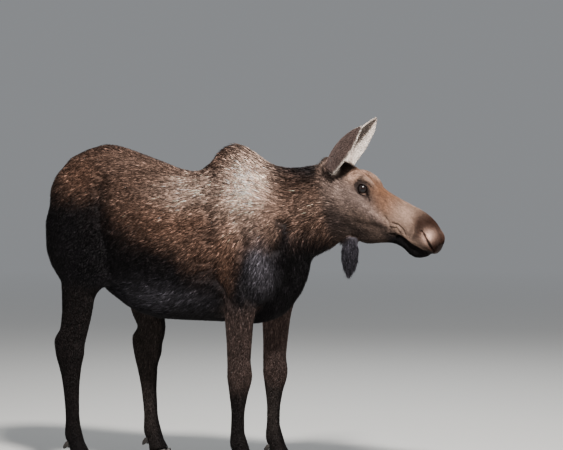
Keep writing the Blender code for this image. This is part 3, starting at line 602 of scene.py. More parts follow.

# Patch: the middle of a marking, a painted highlight or a painted shade, its reach along each axis,
# its colour and strength.
Patch = namedtuple("Patch", "place reach colour strength")
PATCHES_OF_TRUNK = [  # in the row's frame, on her left; her right side mirrors it
    # painted highlight: these six are the sheen of lit hair over the shoulder, ribs and loin
    Patch((0.112, 0.190, 1.535), (0.100, 0.20, 0.140), PALE_HIGHLIGHT, 1.00),
    Patch((0.150, 0.200, 1.400), (0.075, 0.18, 0.080), PALE_HIGHLIGHT, 0.10),
    Patch((0.090, 0.230, 1.320), (0.070, 0.16, 0.100), TAN, 0.28),
    Patch((-0.230, 0.260, 1.500), (0.130, 0.20, 0.100), PALE_HIGHLIGHT, 0.46),
    Patch((-0.120, 0.240, 1.540), (0.080, 0.18, 0.080), PALE_HIGHLIGHT, 0.20),
    Patch((-0.500, 0.200, 1.640), (0.170, 0.18, 0.050), PALE_HIGHLIGHT, 0.05),
    Patch((-0.250, 0.280, 1.340), (0.260, 0.20, 0.100), RUST, 0.65),
    Patch((-0.860, 0.180, 1.560), (0.120, 0.16, 0.090), RUST, 0.75),
    Patch((0.430, 0.120, 1.420), (0.130, 0.12, 0.080), TAN, 0.50),
    Patch((0.240, 0.170, 1.330), (0.060, 0.14, 0.080), TAN, 0.85),
    # painted sheen: these three are the bluish sheen on the belly and the upper foreleg
    Patch((-0.380, 0.200, 0.940), (0.280, 0.20, 0.070), SLATE_SHEEN, 0.60),
    Patch((0.210, 0.210, 1.140), (0.050, 0.12, 0.120), SLATE_SHEEN, 0.90),
    Patch((0.250, 0.190, 1.050), (0.045, 0.12, 0.080), SLATE_SHEEN, 0.60),
    Patch((0.035, 0.250, 1.130), (0.045, 0.12, 0.150), RUST, 0.60),
    Patch((-0.100, 0.270, 1.150), (0.040, 0.12, 0.120), RUST, 0.40),
    # partly her own black and partly painted shade: the belly, thigh, buttock, chest and the
    # underside between the forelegs
    Patch((-0.350, 0.000, 0.780), (0.600, 0.22, 0.080), BLACK, 0.80),
    Patch((-0.860, 0.200, 1.180), (0.160, 0.26, 0.200), BLACK, 0.85),
    Patch((-1.050, 0.060, 1.250), (0.120, 0.24, 0.300), BLACK, 0.92),
    Patch((0.420, 0.080, 1.080), (0.110, 0.18, 0.220), BLACK, 0.92),
    Patch((0.150, 0.000, 0.900), (0.300, 0.14, 0.120), BLACK, 0.85),
    # painted shade in the crease of the whorl at the point of the shoulder, and a painted highlight
    # beside it
    Patch((0.335, 0.150, 1.262), (0.034, 0.09, 0.056), BLACK, 1.00),
    Patch((0.290, 0.170, 1.345), (0.018, 0.08, 0.024), TAN, 0.80),
    # painted shade in the creases behind the shoulder and in front of the thigh
    Patch((-0.040, 0.240, 1.330), (0.026, 0.14, 0.170), BLACK, 0.42),
    Patch((-0.680, 0.200, 1.430), (0.030, 0.14, 0.150), BLACK, 0.45),
    Patch((-1.070, 0.000, 1.420), (0.050, 0.06, 0.110), TAN, 0.40),
]
PATCHES_OF_RIDGE = [
    Patch((0.350, 0.000, 1.640), (0.240, 0.120, 0.110), BLACK, 0.95),
    Patch((0.060, 0.000, 1.780), (0.220, 0.065, 0.065), BLACK, 0.92),
    Patch((-0.250, 0.000, 1.680), (0.300, 0.070, 0.080), BLACK, 0.75),
    Patch((-0.650, 0.000, 1.760), (0.300, 0.110, 0.060), DARK, 0.85),
    Patch((0.480, 0.050, 1.610), (0.140, 0.110, 0.060), BLACK, 0.85),
]
PATCHES_OF_HEAD = [  # in the head's frame, on her left
    # painted sheen: these three are the grey sheen along the cheek
    Patch((0.090, 0.090, -0.020), (0.090, 0.10, 0.070), ASH, 0.50),
    Patch((0.210, 0.090, 0.010), (0.080, 0.10, 0.035), ASH, 0.75),
    Patch((0.300, 0.080, -0.010), (0.080, 0.10, 0.028), ASH, 0.75),
    Patch((0.240, 0.030, 0.110), (0.140, 0.07, 0.045), CHESTNUT, 0.92),
    Patch((0.330, 0.055, 0.060), (0.080, 0.08, 0.050), CHESTNUT, 0.70),
    Patch((0.430, 0.050, 0.080), (0.085, 0.09, 0.060), FAWN, 0.95),
    Patch((0.400, 0.060, 0.010), (0.060, 0.08, 0.025), FAWN, 0.60),
    Patch((0.545, 0.060, -0.004), (0.085, 0.06, 0.010), FAWN, 0.95),
    Patch((0.560, 0.030, 0.125), (0.070, 0.12, 0.050), UMBER, 0.86),
    Patch((0.508, 0.060, 0.096), (0.036, 0.06, 0.036), UMBER, 0.90),
    Patch((0.535, 0.070, 0.060), (0.026, 0.06, 0.040), UMBER, 0.90),
    Patch((0.655, 0.030, 0.060), (0.055, 0.14, 0.085), UMBER, 1.00),
    Patch((0.584, 0.075, 0.070), (0.028, 0.05, 0.029), ROSE, 1.00),
    Patch((0.088, 0.085, 0.100), (0.030, 0.06, 0.038), SAND, 0.90),
    Patch((0.160, 0.080, 0.114), (0.050, 0.05, 0.014), FAWN, 0.80),
    Patch((0.120, 0.040, 0.145), (0.060, 0.05, 0.030), TAN, 0.50),
    # painted shadow behind and below the base of the ear
    Patch((0.000, 0.080, 0.120), (0.045, 0.07, 0.045), BLACK, 0.85),
    Patch((-0.030, 0.095, 0.050), (0.050, 0.06, 0.060), BLACK, 0.90),
    # painted shade under the jaw and on the lower cheek
    Patch((0.080, 0.070, -0.205), (0.180, 0.12, 0.085), BLACK, 0.92),
    Patch((0.290, 0.060, -0.140), (0.120, 0.08, 0.045), BLACK, 0.65),
    Patch((0.130, 0.090, -0.130), (0.075, 0.10, 0.050), BLACK, 0.60),
    Patch((0.560, 0.020, -0.080), (0.120, 0.14, 0.056), BLACK, 1.00),
    Patch((0.470, 0.040, -0.062), (0.085, 0.12, 0.030), BLACK, 1.00),
    Patch((0.215, 0.090, 0.042), (0.030, 0.04, 0.018), BLACK, 0.75),
    Patch((0.128, 0.085, 0.115), (0.008, 0.04, 0.045), DARK, 0.75),
    # painted shade in the upper lid's crease
    Patch((0.166, 0.085, 0.104), (0.044, 0.04, 0.008), BLACK, 0.90),
    Patch((0.164, 0.100, 0.026), (0.036, 0.04, 0.006), ASH, 0.70),
]


def painted(colours, spots, patches, mask):
    """Lays patches over the colours in turn, on both sides, each fading out at its reach."""
    for patch in patches:
        for hand in (1, -1) if patch.place[1] else (1,):
            offset = (spots - np.array(patch.place) * (1, hand, 1)) / np.array(patch.reach)
            share = patch.strength * np.exp(-(offset**2).sum(1)) * mask
            colours += (patch.colour - colours) * share[:, None]


skin_points = points_of(skin.data)
local = head_local(skin_points)
x, y, height = skin_points.T
in_shade = smoothstep(*DARK_MELT, height - np.interp(x, *zip(*DARK_BELOW)))[:, None]
markings_and_painted_light = BROWN * (1 - in_shade) + BLACK * in_shade
on_body = 1 - head_share
painted(markings_and_painted_light, skin_points, PATCHES_OF_TRUNK, on_body)
painted(markings_and_painted_light, skin_points, PATCHES_OF_RIDGE, on_body)
markings_and_painted_light = markings_and_painted_light * on_body[:, None] + FACE * head_share[:, None]
painted(markings_and_painted_light, local, PATCHES_OF_HEAD, head_share)


def dyed_and_shaded(mask, colour, strength=1.0):
    """Draws the colours towards a colour where a mask says so, for dye and painted shade alike."""
    markings_and_painted_light[:] += (colour - markings_and_painted_light) * (mask * strength)[:, None]


# Painted shade darkens the folds. The legs are black, greyer on their inner sides.
DARKEST_FOLD = 0.012  # as deep as this, a fold's painted shade is at its darkest
INNER_FACING, FRONT_FACING = (0.2, 0.8), (0.3, 0.9)  # how squarely the hide faces that way
FRONT_SHARE = 0.1  # how much of the grey the front of a leg takes
GREY_UP_TO, FEET = (1.0, 0.8), (0.26, 0.12)  # heights at which each fades out and is full
dyed_and_shaded(np.minimum(folded / DARKEST_FOLD, 1), BLACK, 0.85)
dyed_and_shaded(on_leg, LEG)
inner = smoothstep(*INNER_FACING, -skin_normals[:, 1] * np.sign(y))
front = smoothstep(*FRONT_FACING, skin_normals[:, 0])
grey = np.maximum(inner, front * FRONT_SHARE) * smoothstep(*GREY_UP_TO, height)
dyed_and_shaded(on_leg * grey, SHIN, 0.75)
dyed_and_shaded(belongs("shank") * smoothstep(*FEET, height), BLACK, 0.6)

# The lids are black, with a pink rim under the eye that grows towards its front corner.
LIDS_DARK, RIM_PINK = (4.2, 1.8), (1.75, 1.25)  # where each fades, as squared shares of the span
UNDER_EYE, TO_FRONT_CORNER = (0.0, -0.010), (-0.5, 0.9)
EYE_SOCKET = -0.020  # the dye stays on the outer side of this depth beside the eye's middle
for hand in (1, -1):
    offset, along, across = beside_eye(local, hand)
    spread = in_oval(along, across, LID_SPAN)
    on_lids = on_head * (offset[:, 1] * hand > EYE_SOCKET)
    dyed_and_shaded(on_lids * smoothstep(*LIDS_DARK, spread), BLACK, 0.88)
    below = smoothstep(*UNDER_EYE, across) * smoothstep(*TO_FRONT_CORNER, along / LID_SPAN[0])
    dyed_and_shaded(on_lids * below * smoothstep(*RIM_PINK, spread), ROSE, 0.70)
dyed_and_shaded(belongs("lower_lip"), BLACK, 0.90)
dyed_and_shaded(belongs("bell"), BELL, 0.95)
dyed_and_shaded(belongs("tail"), DARK, 0.8)
on_ear = belongs("ear")
dyed_and_shaded(on_ear, EAR_BACK)
dyed_and_shaded(np.clip(inside_ear, 0, 1), WHITISH, 0.85)
# painted shade down the depth of each ear's hollow
dyed_and_shaded(ear_pocket_shade, ASH, 0.65)
MARKING_EASING = 2
markings_and_painted_light = softened(skin.data, markings_and_painted_light, MARKING_EASING)


# ---- the coat's finish ----------------------------------------------------------------
# One shader group colours hair and hide alike: the marking with its painted light, mottled at
# three sizes, and darker at the root than at the tip.
def link(tree, source, target):
    tree.links.new(source, target)


def finish(made, **inputs):
    """Sets a shader's or a node's own inputs by their names."""
    for key, value in inputs.items():
        made.inputs[key.replace("_", " ")].default_value = value
    return made


def node(tree, kind, **inputs):
    """A new node with some of its inputs set."""
    return finish(tree.nodes.new(kind), **inputs)


def mixed(tree, blend, share, first, second):
    """A mix of two colours. The share and both colours are sockets or values."""
    made = tree.nodes.new("ShaderNodeMix")
    made.data_type, made.blend_type = "RGBA", blend
    for key, value in (("Factor_Float", share), ("A_Color", first), ("B_Color", second)):
        target = next(item for item in made.inputs if item.identifier == key)
        if isinstance(value, bpy.types.NodeSocket):
            link(tree, value, target)
        else:
            target.default_value = value
    return next(item for item in made.outputs if item.identifier == "Result_Color")


def ranged(tree, source, low, high, to_low, to_high):
    """The source's values, with low and high carried to two new ones and clamped there."""
    made = tree.nodes.new("ShaderNodeMapRange")
    for index, value in enumerate((low, high, to_low, to_high), start=1):
        made.inputs[index].default_value = value
    link(tree, source, made.inputs[0])
    return made.outputs[0]


hair_group = bpy.data.node_groups.new("Hair colour", "ShaderNodeTree")
for name, kind in (("Marking", "NodeSocketColor"), ("Along", "NodeSocketFloat")):
    hair_group.interface.new_socket(name, in_out="INPUT", socket_type=kind)
hair_group.interface.new_socket("Colour", in_out="OUTPUT", socket_type="NodeSocketColor")
given = hair_group.nodes.new("NodeGroupInput")
coords = hair_group.nodes.new("ShaderNodeTexCoord")
colour = given.outputs["Marking"]
NOISE_SPAN = (0.3, 0.7)  # nearly all of a noise lies between these
MOTTLES = ((6.0, 0.86, 1.14), (38.0, 0.88, 1.14), (160.0, 0.86, 1.16))  # scale, dark, light
ROOT_SHADE, TIP_SHADE = 0.38, 1.35
for scale, dark, light in MOTTLES:
    noise = node(hair_group, "ShaderNodeTexNoise", Scale=scale, Detail=3.0, Roughness=0.6)
    link(hair_group, coords.outputs["Object"], noise.inputs["Vector"])
    factor = ranged(hair_group, noise.outputs[0], *NOISE_SPAN, dark, light)
    colour = mixed(hair_group, "MULTIPLY", 1.0, colour, factor)
fade = ranged(hair_group, given.outputs["Along"], 0.0, 1.0, ROOT_SHADE, TIP_SHADE)
colour = mixed(hair_group, "MULTIPLY", 1.0, colour, fade)
link(hair_group, colour, hair_group.nodes.new("NodeGroupOutput").inputs[0])

HAIR_GLOSS = 0.08  # her coat is dull
SKIN_ALONG = 0.40  # the hide between the hairs is as dark as the hair is here along its length


def hair_material(name, roughness, along=None):
    """A material that reads the markings and painted light, and the place along the hair unless
    that is given.
    """
    made = bpy.data.materials.new(name)
    made.use_nodes = True
    tree = made.node_tree
    shader = tree.nodes["Principled BSDF"]
    marking_and_light = tree.nodes.new("ShaderNodeAttribute")
    marking_and_light.attribute_name = "markings_and_painted_light"
    group = tree.nodes.new("ShaderNodeGroup")
    group.node_tree = hair_group
    link(tree, marking_and_light.outputs["Color"], group.inputs["Marking"])
    if along is None:
        place = tree.nodes.new("ShaderNodeAttribute")
        place.attribute_name = "along"
        link(tree, place.outputs["Fac"], group.inputs["Along"])
    else:
        group.inputs["Along"].default_value = along
    link(tree, group.outputs[0], shader.inputs["Base Color"])
    finish(shader, Roughness=roughness, Specular_IOR_Level=HAIR_GLOSS)
    return made


coat_material = hair_material("coat", roughness=0.55)
skin_material = hair_material("hide", roughness=0.62, along=SKIN_ALONG)
tree = skin_material.node_tree
grain = node(tree, "ShaderNodeTexNoise", Scale=420.0, Detail=4.0)
coords = tree.nodes.new("ShaderNodeTexCoord")
link(tree, coords.outputs["Object"], grain.inputs["Vector"])
bump = node(tree, "ShaderNodeBump", Strength=0.6, Distance=0.0012)
link(tree, grain.outputs[0], bump.inputs["Height"])
link(tree, bump.outputs[0], tree.nodes["Principled BSDF"].inputs["Normal"])


def paint(mesh, colours):
    """Keeps a colour at each vertex, where the materials read it."""
    layer = mesh.attributes.new("markings_and_painted_light", "FLOAT_COLOR", "POINT")
    layer.data.foreach_set("color", np.column_stack([colours, np.ones(len(colours))]).ravel())


paint(skin.data, markings_and_painted_light)
skin.data.materials.clear()
skin.data.materials.append(skin_material)
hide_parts(*flesh)
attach(skin, "root")


# ---- the coat -------------------------------------------------------------------------
# Each tuft is a thin, closed, tapered lock that lies along the body with its root in the
# skin. Locks overlap like thatch, and are finest on the face and feet.
SEED = 7
TUFT_FLATNESS = 0.36
COVER = 2.2  # how many locks deep the coat lies
LONG_HAIR = 0.042  # locks about this long and longer are bent, in two lengths
BENT_FROM = 0.9  # a piece whose locks mostly pass this share of it has them bent
BEND_AT, BEND_WIDTH, DROOP = 0.5, 0.85, 0.35  # shares of its length, its width and its rise
WIDTH_BASE, WIDTH_SHARE = 0.0018, 0.062  # a lock's width grows with its length
LENGTH_SPREAD, WIDTH_SPREAD, LIFT_SPREAD = (0.75, 1.2), (0.75, 1.25), (0.55, 1.10)
ROOT_SUNK, SUNK_SHARE = 0.0012, 0.30  # the root's depth, and the most of its rise it may be
STRAY = math.radians(7)  # how far a lock strays from the lie
RIPPLE, RIPPLE_SCALE = 0.08, 26.0  # slow waves in the lie, so that no run of locks is ruled
SHADE_SPREAD = 0.50
SHORT_HAIR, EVEN_SHARE = 0.028, 0.35  # shorter hair is shaded more evenly, down to this share
GRIZZLE, GRIZZLE_LIFT = 0.10, 0.9  # share of locks that are paler, and by how much
# Locks in one small cell share a shade. A cell is drawn out along the lie, and the steps
# spread neighbouring cells over the kinds of shade.
CLUMP, CLUMP_REACH = 0.0085, 0.020
CLUMP_SHADE, CLUMP_KINDS, CLUMP_STEPS = 0.60, 4096, np.array((7351, 1933, 4421))
draw = np.random.default_rng(SEED)
clump_shades = draw.normal(0, CLUMP_SHADE, CLUMP_KINDS)

triangles = np.empty(len(skin.data.polygons) * 3, np.int64)
skin.data.polygons.foreach_get("vertices", triangles)
triangles = triangles.reshape(-1, 3)
skin_normals = normals_of(skin.data)


def over_faces(values):
    """The mean of the vertices' values over each face of the skin."""
    return values[triangles].mean(1)


# The coat leaves the lids' rims, the nostrils, the line of the lips and the nose's end bare.
BARE_RIM, RIM_DEPTH = 2.1, 0.05  # squared share of the eye's opening, and how deep beside it
BARE_CREASE = 1.1  # share of a crease's width
NOSE_END = 0.652
bare = np.zeros(len(skin_points))
for hand in (1, -1):
    offset, along, across = beside_eye(local, hand)
    on_rim = in_oval(along, across, LID_OPENING) < BARE_RIM
    bare = np.maximum(bare, on_rim & (np.abs(offset[:, 1]) < RIM_DEPTH))
for crease in (BETWEEN_LIPS, NOSTRIL):
    gap = distance_to_line(local[:, [0, 2]], crease.line)
    bare = np.maximum(bare, on_head * (gap < crease.width * BARE_CREASE))
bare = np.maximum(bare, on_head * (local[:, 0] > NOSE_END))


def rippled(points, scale):
    """A smooth wave through space, from -1 to 1, that follows no axis."""
    a, b, c = points.T * scale
    first = np.sin(a + 1.7 * np.sin(b * 0.7 + c))
    second = np.sin(b * 1.3 + 1.3 * np.sin(c * 0.9 - a))
    return (first + second) / 2


def tuft_mesh(rings, widths, across, up, tips):
    """Closed tapered locks, each with a root face, three-sided rings in turn, and a tip."""
    count, levels = len(tips), len(rings)
    points = np.empty((count, 3 * levels + 1, 3))
    for level, (centre, share) in enumerate(rings):
        half = (widths * share / 2)[:, None]
        ridge = (widths * share * TUFT_FLATNESS)[:, None]
        points[:, 3 * level] = centre - across * half
        points[:, 3 * level + 1] = centre + across * half
        points[:, 3 * level + 2] = centre + up * ridge
    points[:, -1] = tips
    faces = [(0, 2, 1)]
    for level in range(levels - 1):
        low = 3 * level
        for k in range(3):
            a, b = low + k, low + (k + 1) % 3
            faces += [(a, b, b + 3), (a, b + 3, a + 3)]
    last, tip = 3 * (levels - 1), 3 * levels
    faces += [(last + k, last + (k + 1) % 3, tip) for k in range(3)]
    faces = np.array(faces)
    starts = np.arange(count)[:, None, None] * (3 * levels + 1)
    loops = (faces[None] + starts).reshape(-1)
    return points.reshape(-1, 3), loops


# Where the parts of the skin are unwrapped from: the height of the trunk's middle, where the
# head and the ears begin and how long they are, and the middles and length of the legs.
MIDDLE_OF_TRUNK = 1.22
HEAD_FROM, HEAD_LENGTH = -0.5, 1.25
EAR_FROM, EAR_LENGTH, EAR_FOOT = 0.02, 0.33, (-0.02, 0.09)
FORELEGS_FROM, LEG_LENGTH = -0.3, 1.1
FORE_MIDDLES, HIND_MIDDLES, LEGS_APART = (0.137, 0.087), (-0.62, -0.88), 0.165  # left, right
TILE_FILL = 0.96  # how much of its tile an ear or a leg may fill


def unwrapped(kind, points, hand):
    """Places on an unwrap of the skin's own shape: how far along a part and how far round it."""
    if kind in ("trunk", "ridge"):
        along = (points[:, 0] - cad_low.x) / (cad_high.x - cad_low.x)
        turn = np.arctan2(points[:, 1] * hand, points[:, 2] - MIDDLE_OF_TRUNK) / math.pi
        return np.column_stack([along, turn if kind == "trunk" else turn + 0.5])
    if kind == "hanging":
        low, high = points.min(0), points.max(0)
        offset = points - (low + high) / 2
        turn = np.arctan2(offset[:, 1], offset[:, 0]) / math.tau + 0.5
        return np.column_stack([turn, (points[:, 2] - low[2]) / (high[2] - low[2])])
    s, y, t = head_local(points).T
    if kind == "head":
        return np.column_stack([(s - HEAD_FROM) / HEAD_LENGTH, np.arctan2(y, t) / math.tau + 0.5])
    if kind == "ears":
        turn = np.arctan2(s - EAR_FOOT[0], np.abs(y) - EAR_FOOT[1]) / math.tau + 0.5
        half = ((y > 0) + turn * TILE_FILL) / 2
        return np.column_stack([half, (t - EAR_FROM) / EAR_LENGTH])
    x, y, height = points.T
    fore, left = x > FORELEGS_FROM, y > 0
    middle = np.where(fore, np.where(left, *FORE_MIDDLES), np.where(left, *HIND_MIDDLES))
    turn = np.arctan2(y - np.where(left, LEGS_APART, -LEGS_APART), x - middle) / math.tau + 0.5
    quarter = (fore * 2 + left + turn * TILE_FILL) / 4
    return np.column_stack([quarter, height / LEG_LENGTH])


UV_PATCH, UV_MARGIN = 0.003, 0.004  # each lock's own patch, and the rim left free round them all


def grow(name, mask, kind, hand=1, cover=COVER, fineness=1.0):
    """Covers the masked part of the skin with locks, as one piece of the coat."""
    chosen = np.flatnonzero((mask[triangles[:, 0]] > 0.5) & (over_faces(bare) < 0.5))
    corners = skin_points[triangles[chosen]]
    cross = np.cross(corners[:, 1] - corners[:, 0], corners[:, 2] - corners[:, 0])
    area = np.linalg.norm(cross, axis=1) / 2
    length = over_faces(lie[:, 3])[chosen]
    width = (WIDTH_BASE + WIDTH_SHARE * length) * fineness
    density = cover / (length * width / 2)
    total = (area * density).sum()
    wanted = int(total)
    share = np.cumsum(area * density) / total
    even = (np.arange(wanted) + draw.random(wanted)) / wanted
    picked = chosen[np.minimum(np.searchsorted(share, even), len(chosen) - 1)]
    weights = draw.random((wanted, 2))
    weights = np.where(weights.sum(1, keepdims=True) > 1, 1 - weights, weights)
    weights = np.column_stack([1 - weights.sum(1), weights])[:, :, None]
    corner = triangles[picked]

    def at_root(values):
        return (values[corner] * weights).sum(1)

    roots, normals, hair = at_root(skin_points), at_root(skin_normals), at_root(lie)
    normals /= np.linalg.norm(normals, axis=1, keepdims=True)
    way = hair[:, :3] - normals * (hair[:, :3] * normals).sum(1, keepdims=True)
    way /= np.linalg.norm(way, axis=1, keepdims=True) + 1e-9
    across = np.cross(normals, way)
    stray = draw.normal(0, STRAY, wanted) + RIPPLE * rippled(roots, RIPPLE_SCALE)
    way, across = (way * np.cos(stray)[:, None] + across * np.sin(stray)[:, None],
                   across * np.cos(stray)[:, None] - way * np.sin(stray)[:, None])
    length = hair[:, 3] * draw.uniform(*LENGTH_SPREAD, wanted)
    widths = (WIDTH_BASE + WIDTH_SHARE * hair[:, 3]) * fineness
    widths *= draw.uniform(*WIDTH_SPREAD, wanted)
    lift = np.radians(hair[:, 4]) * draw.uniform(*LIFT_SPREAD, wanted)
    heading = way * np.cos(lift)[:, None] + normals * np.sin(lift)[:, None]
    up = np.cross(heading, across)
    up *= np.sign((up * normals).sum(1, keepdims=True))
    sunk = np.minimum(ROOT_SUNK, SUNK_SHARE * length * np.sin(lift))
    base = roots - normals * sunk[:, None]
    tips = base + heading * length[:, None]
    rings = [(base, 1.0)]
    if np.median(length) > LONG_HAIR * BENT_FROM:
        fall = normals * (length * np.sin(lift) * DROOP)[:, None]
        bend = base + heading * (length * BEND_AT)[:, None] + fall * BEND_AT
        rings.append((bend, BEND_WIDTH))
        tips = tips - fall
    points, loops = tuft_mesh(rings, widths, across, up, tips)

    mesh = bpy.data.meshes.new(name)
    mesh.vertices.add(len(points))
    mesh.vertices.foreach_set("co", points.astype(np.float32).ravel())
    mesh.loops.add(len(loops))
    mesh.loops.foreach_set("vertex_index", loops.astype(np.int32))
    mesh.polygons.add(len(loops) // 3)
    mesh.polygons.foreach_set("loop_start", np.arange(0, len(loops), 3, dtype=np.int32))
    mesh.update(calc_edges=True)
    mesh.shade_smooth()

    each = len(points) // wanted
    drawn_along = way * draw.uniform(-CLUMP_REACH, CLUMP_REACH, (wanted, 1))
    cells = np.floor((roots + drawn_along) / CLUMP).astype(np.int64)
    clump = (cells @ CLUMP_STEPS) % len(clump_shades)
    depth = np.clip(hair[:, 3] / SHORT_HAIR, EVEN_SHARE, 1)
    shade = np.exp((draw.normal(0, SHADE_SPREAD, wanted) + clump_shades[clump]) * depth)
    shade = np.where(draw.random(wanted) < GRIZZLE, shade * (1 + GRIZZLE_LIFT * depth), shade)
    paint(mesh, np.repeat(np.clip(at_root(markings_and_painted_light) * shade[:, None], 0, 1), each, axis=0))
    along = np.zeros((wanted, each))
    along[:, -1] = 1.0
    along[:, 3:-1] = BEND_AT
    layer = mesh.attributes.new("along", "FLOAT", "POINT")
    shaded = SKIN_ALONG + (along - SKIN_ALONG) * depth[:, None]
    layer.data.foreach_set("value", shaded.astype(np.float32).ravel())
    spots = UV_MARGIN + unwrapped(kind, roots, hand) * (1 - 2 * UV_MARGIN)
    spots = np.repeat(spots, each, axis=0).reshape(wanted, each, 2)
    spots[:, :, 0] += (along - 0.5) * UV_PATCH
    spots[:, 1::3, 1] += UV_PATCH / 2
    spots[:, 0::3, 1] -= UV_PATCH / 2
    uv = mesh.uv_layers.new(name="OFBake")
    uv.data.foreach_set("uv", spots.reshape(-1, 2)[loops].astype(np.float32).ravel())

    piece = bpy.data.objects.new(name, mesh)
    bpy.context.scene.collection.objects.link(piece)
    mesh.materials.append(coat_material)
    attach(piece, "root")


MANE_EDGE = (0.040, 0.044)  # the mane begins where the trunk's hair grows this long
LENGTHS = ("rump", "flank", "ribs", "shoulder")  # the trunk's coat is made in these, each side
CUTS = (-math.inf, -0.76, -0.36, 0.02, math.inf)
on_mane = smoothstep(*MANE_EDGE, lie[:, 3]) * belongs("trunk", "neck")
on_trunk = belongs("trunk", "neck") * (on_mane < 0.5)
for hand, label in SIDES:
    on_side = (y * hand > 0).astype(float)
    for rear, fore, where in zip(CUTS, CUTS[1:], LENGTHS):
        within = on_trunk * on_side * (x > rear) * (x <= fore)
        grow(f"coat_{label}_{where}", within, "trunk", hand, fineness=0.86)
    grow(f"coat_{label}_legs", on_leg * on_side, "legs")
    grow(f"coat_{label}_head", on_head * (local[:, 1] * hand > 0), "head")
grow("coat_mane", on_mane, "ridge", cover=2.8, fineness=0.8)
grow("coat_bell", belongs("bell"), "hanging", cover=5.0, fineness=0.6)
grow("coat_tail", belongs("tail"), "hanging", cover=3.2, fineness=0.6)
grow("coat_ears", on_ear, "ears", fineness=1.2)


# ---- the eyes -------------------------------------------------------------------------
# Two glass eyes, wet and dark brown, set under the lids. Each is a ball with a slightly raised
# cornea. The iris and its wide level pupil are painted round the way it gazes.
GAZE = {1: Vector((0.30, 0.95, -0.05)), -1: Vector((0.30, -0.95, -0.05))}
IRIS, PUPIL = (0.0170, 0.0170), (0.0115, 0.0060)  # half width and half height
IRIS_EDGE, PUPIL_EDGE = (0.88, 1.02), (1.12, 0.92)  # where each melts, as shares of the way out
CORNEA_RISE = 0.0012
IRIS_DARK, IRIS_LIGHT = (0.004, 0.002, 0.002, 1), (0.011, 0.005, 0.004, 1)
RIM, PUPIL_COLOUR = (0.008, 0.006, 0.006, 1), (0.002, 0.002, 0.003, 1)
eye_material = bpy.data.materials.new("eye")
eye_material.use_nodes = True
tree = eye_material.node_tree
shader = tree.nodes["Principled BSDF"]
look = tree.nodes.new("ShaderNodeAttribute")
look.attribute_name = "gaze"


def oval(tree, source, radii):
    """How far out a point lies, as a share of an oval's edge."""
    scaled = tree.nodes.new("ShaderNodeVectorMath")
    scaled.operation = "DIVIDE"
    scaled.inputs[1].default_value = (*radii, 1.0)
    link(tree, source, scaled.inputs[0])
    length = tree.nodes.new("ShaderNodeVectorMath")
    length.operation = "LENGTH"
    link(tree, scaled.outputs[0], length.inputs[0])
    return length.outputs["Value"]


outside = ranged(tree, oval(tree, look.outputs["Vector"], IRIS), *IRIS_EDGE, 0, 1)
pupil = ranged(tree, oval(tree, look.outputs["Vector"], PUPIL), *PUPIL_EDGE, 0, 1)
streaks = node(tree, "ShaderNodeTexNoise", Scale=900.0, Detail=2.0)
link(tree, look.outputs["Vector"], streaks.inputs["Vector"])
colour = mixed(tree, "MIX", streaks.outputs[0], IRIS_DARK, IRIS_LIGHT)
colour = mixed(tree, "MIX", pupil, colour, PUPIL_COLOUR)
colour = mixed(tree, "MIX", outside, colour, RIM)
link(tree, colour, shader.inputs["Base Color"])
finish(shader, Roughness=0.22, Specular_IOR_Level=0.15, Coat_Weight=0.2, Coat_Roughness=0.02)
for hand, label in SIDES:
    bpy.ops.mesh.primitive_uv_sphere_add(segments=40, ring_count=24, radius=EYE_RADIUS)
    ball = bpy.context.object
    ball.name = f"{label}_eyeball"
    forward = (head_axes @ GAZE[hand]).normalized()
    level = Vector((0, 0, 1)).cross(forward).normalized()
    upward = forward.cross(level)
    spots = points_of(ball.data)
    turned = spots @ np.array((level, upward, forward))
    flat = np.column_stack([spots[:, :2], np.zeros(len(spots))])
    rise = CORNEA_RISE * np.exp(-(np.linalg.norm(flat, axis=1) / IRIS[0]) ** 2)
    turned += np.array(forward) * (rise * (spots[:, 2] > 0))[:, None]
    set_points(ball.data, turned + np.array(eye_centres[hand]))
    layer = ball.data.attributes.new("gaze", "FLOAT_VECTOR", "POINT")
    layer.data.foreach_set("vector", flat.astype(np.float32).ravel())
    ball.data.materials.append(eye_material)
    ball.data.shade_smooth()
    ball.select_set(False)
    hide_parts(f"{label}_eye")
    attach(ball, "root")


# ---- the hooves and dewclaws ----------------------------------------------------------
# Dark horn, ringed as it grows down from the coronet and worn paler in patches. Each is the
# solid's own shape, and the rims of the toes are rounded over.
HOOF_EDGE = 0.004
SAME_POINT, SAME_PLANE = 0.00002, math.radians(1)  # what is merged before the rims are found
RIM_BEND, SHARP_BEND = math.radians(50), math.radians(38)  # rims bend more, creases stay sharp
HORN_DARK, HORN_WORN = (0.006, 0.005, 0.005, 1), (0.027, 0.022, 0.019, 1)
BAND_SHARE = 0.35  # how far a ring goes towards the worn horn
WEAR_SPAN, WEAR_SHARE = (0.45, 0.75), 0.65  # the part of a noise that is wear, and how strong
HORN_ROUGHNESS = (0.38, 0.62)
horn_material = bpy.data.materials.new("horn")
horn_material.use_nodes = True
tree = horn_material.node_tree
shader = tree.nodes["Principled BSDF"]
coords = tree.nodes.new("ShaderNodeTexCoord")
rings = node(tree, "ShaderNodeTexWave", Scale=34.0, Distortion=2.2, Detail=3.0, Detail_Scale=2.0)
rings.bands_direction = "Z"
link(tree, coords.outputs["Object"], rings.inputs["Vector"])
wear = node(tree, "ShaderNodeTexNoise", Scale=55.0, Detail=5.0)
link(tree, coords.outputs["Object"], wear.inputs["Vector"])
band = ranged(tree, rings.outputs[1], 0.0, 1.0, 0.0, BAND_SHARE)
worn = ranged(tree, wear.outputs[0], *WEAR_SPAN, 0.0, WEAR_SHARE)
colour = mixed(tree, "MIX", band, HORN_DARK, HORN_WORN)
colour = mixed(tree, "MIX", worn, colour, HORN_WORN)
link(tree, colour, shader.inputs["Base Color"])
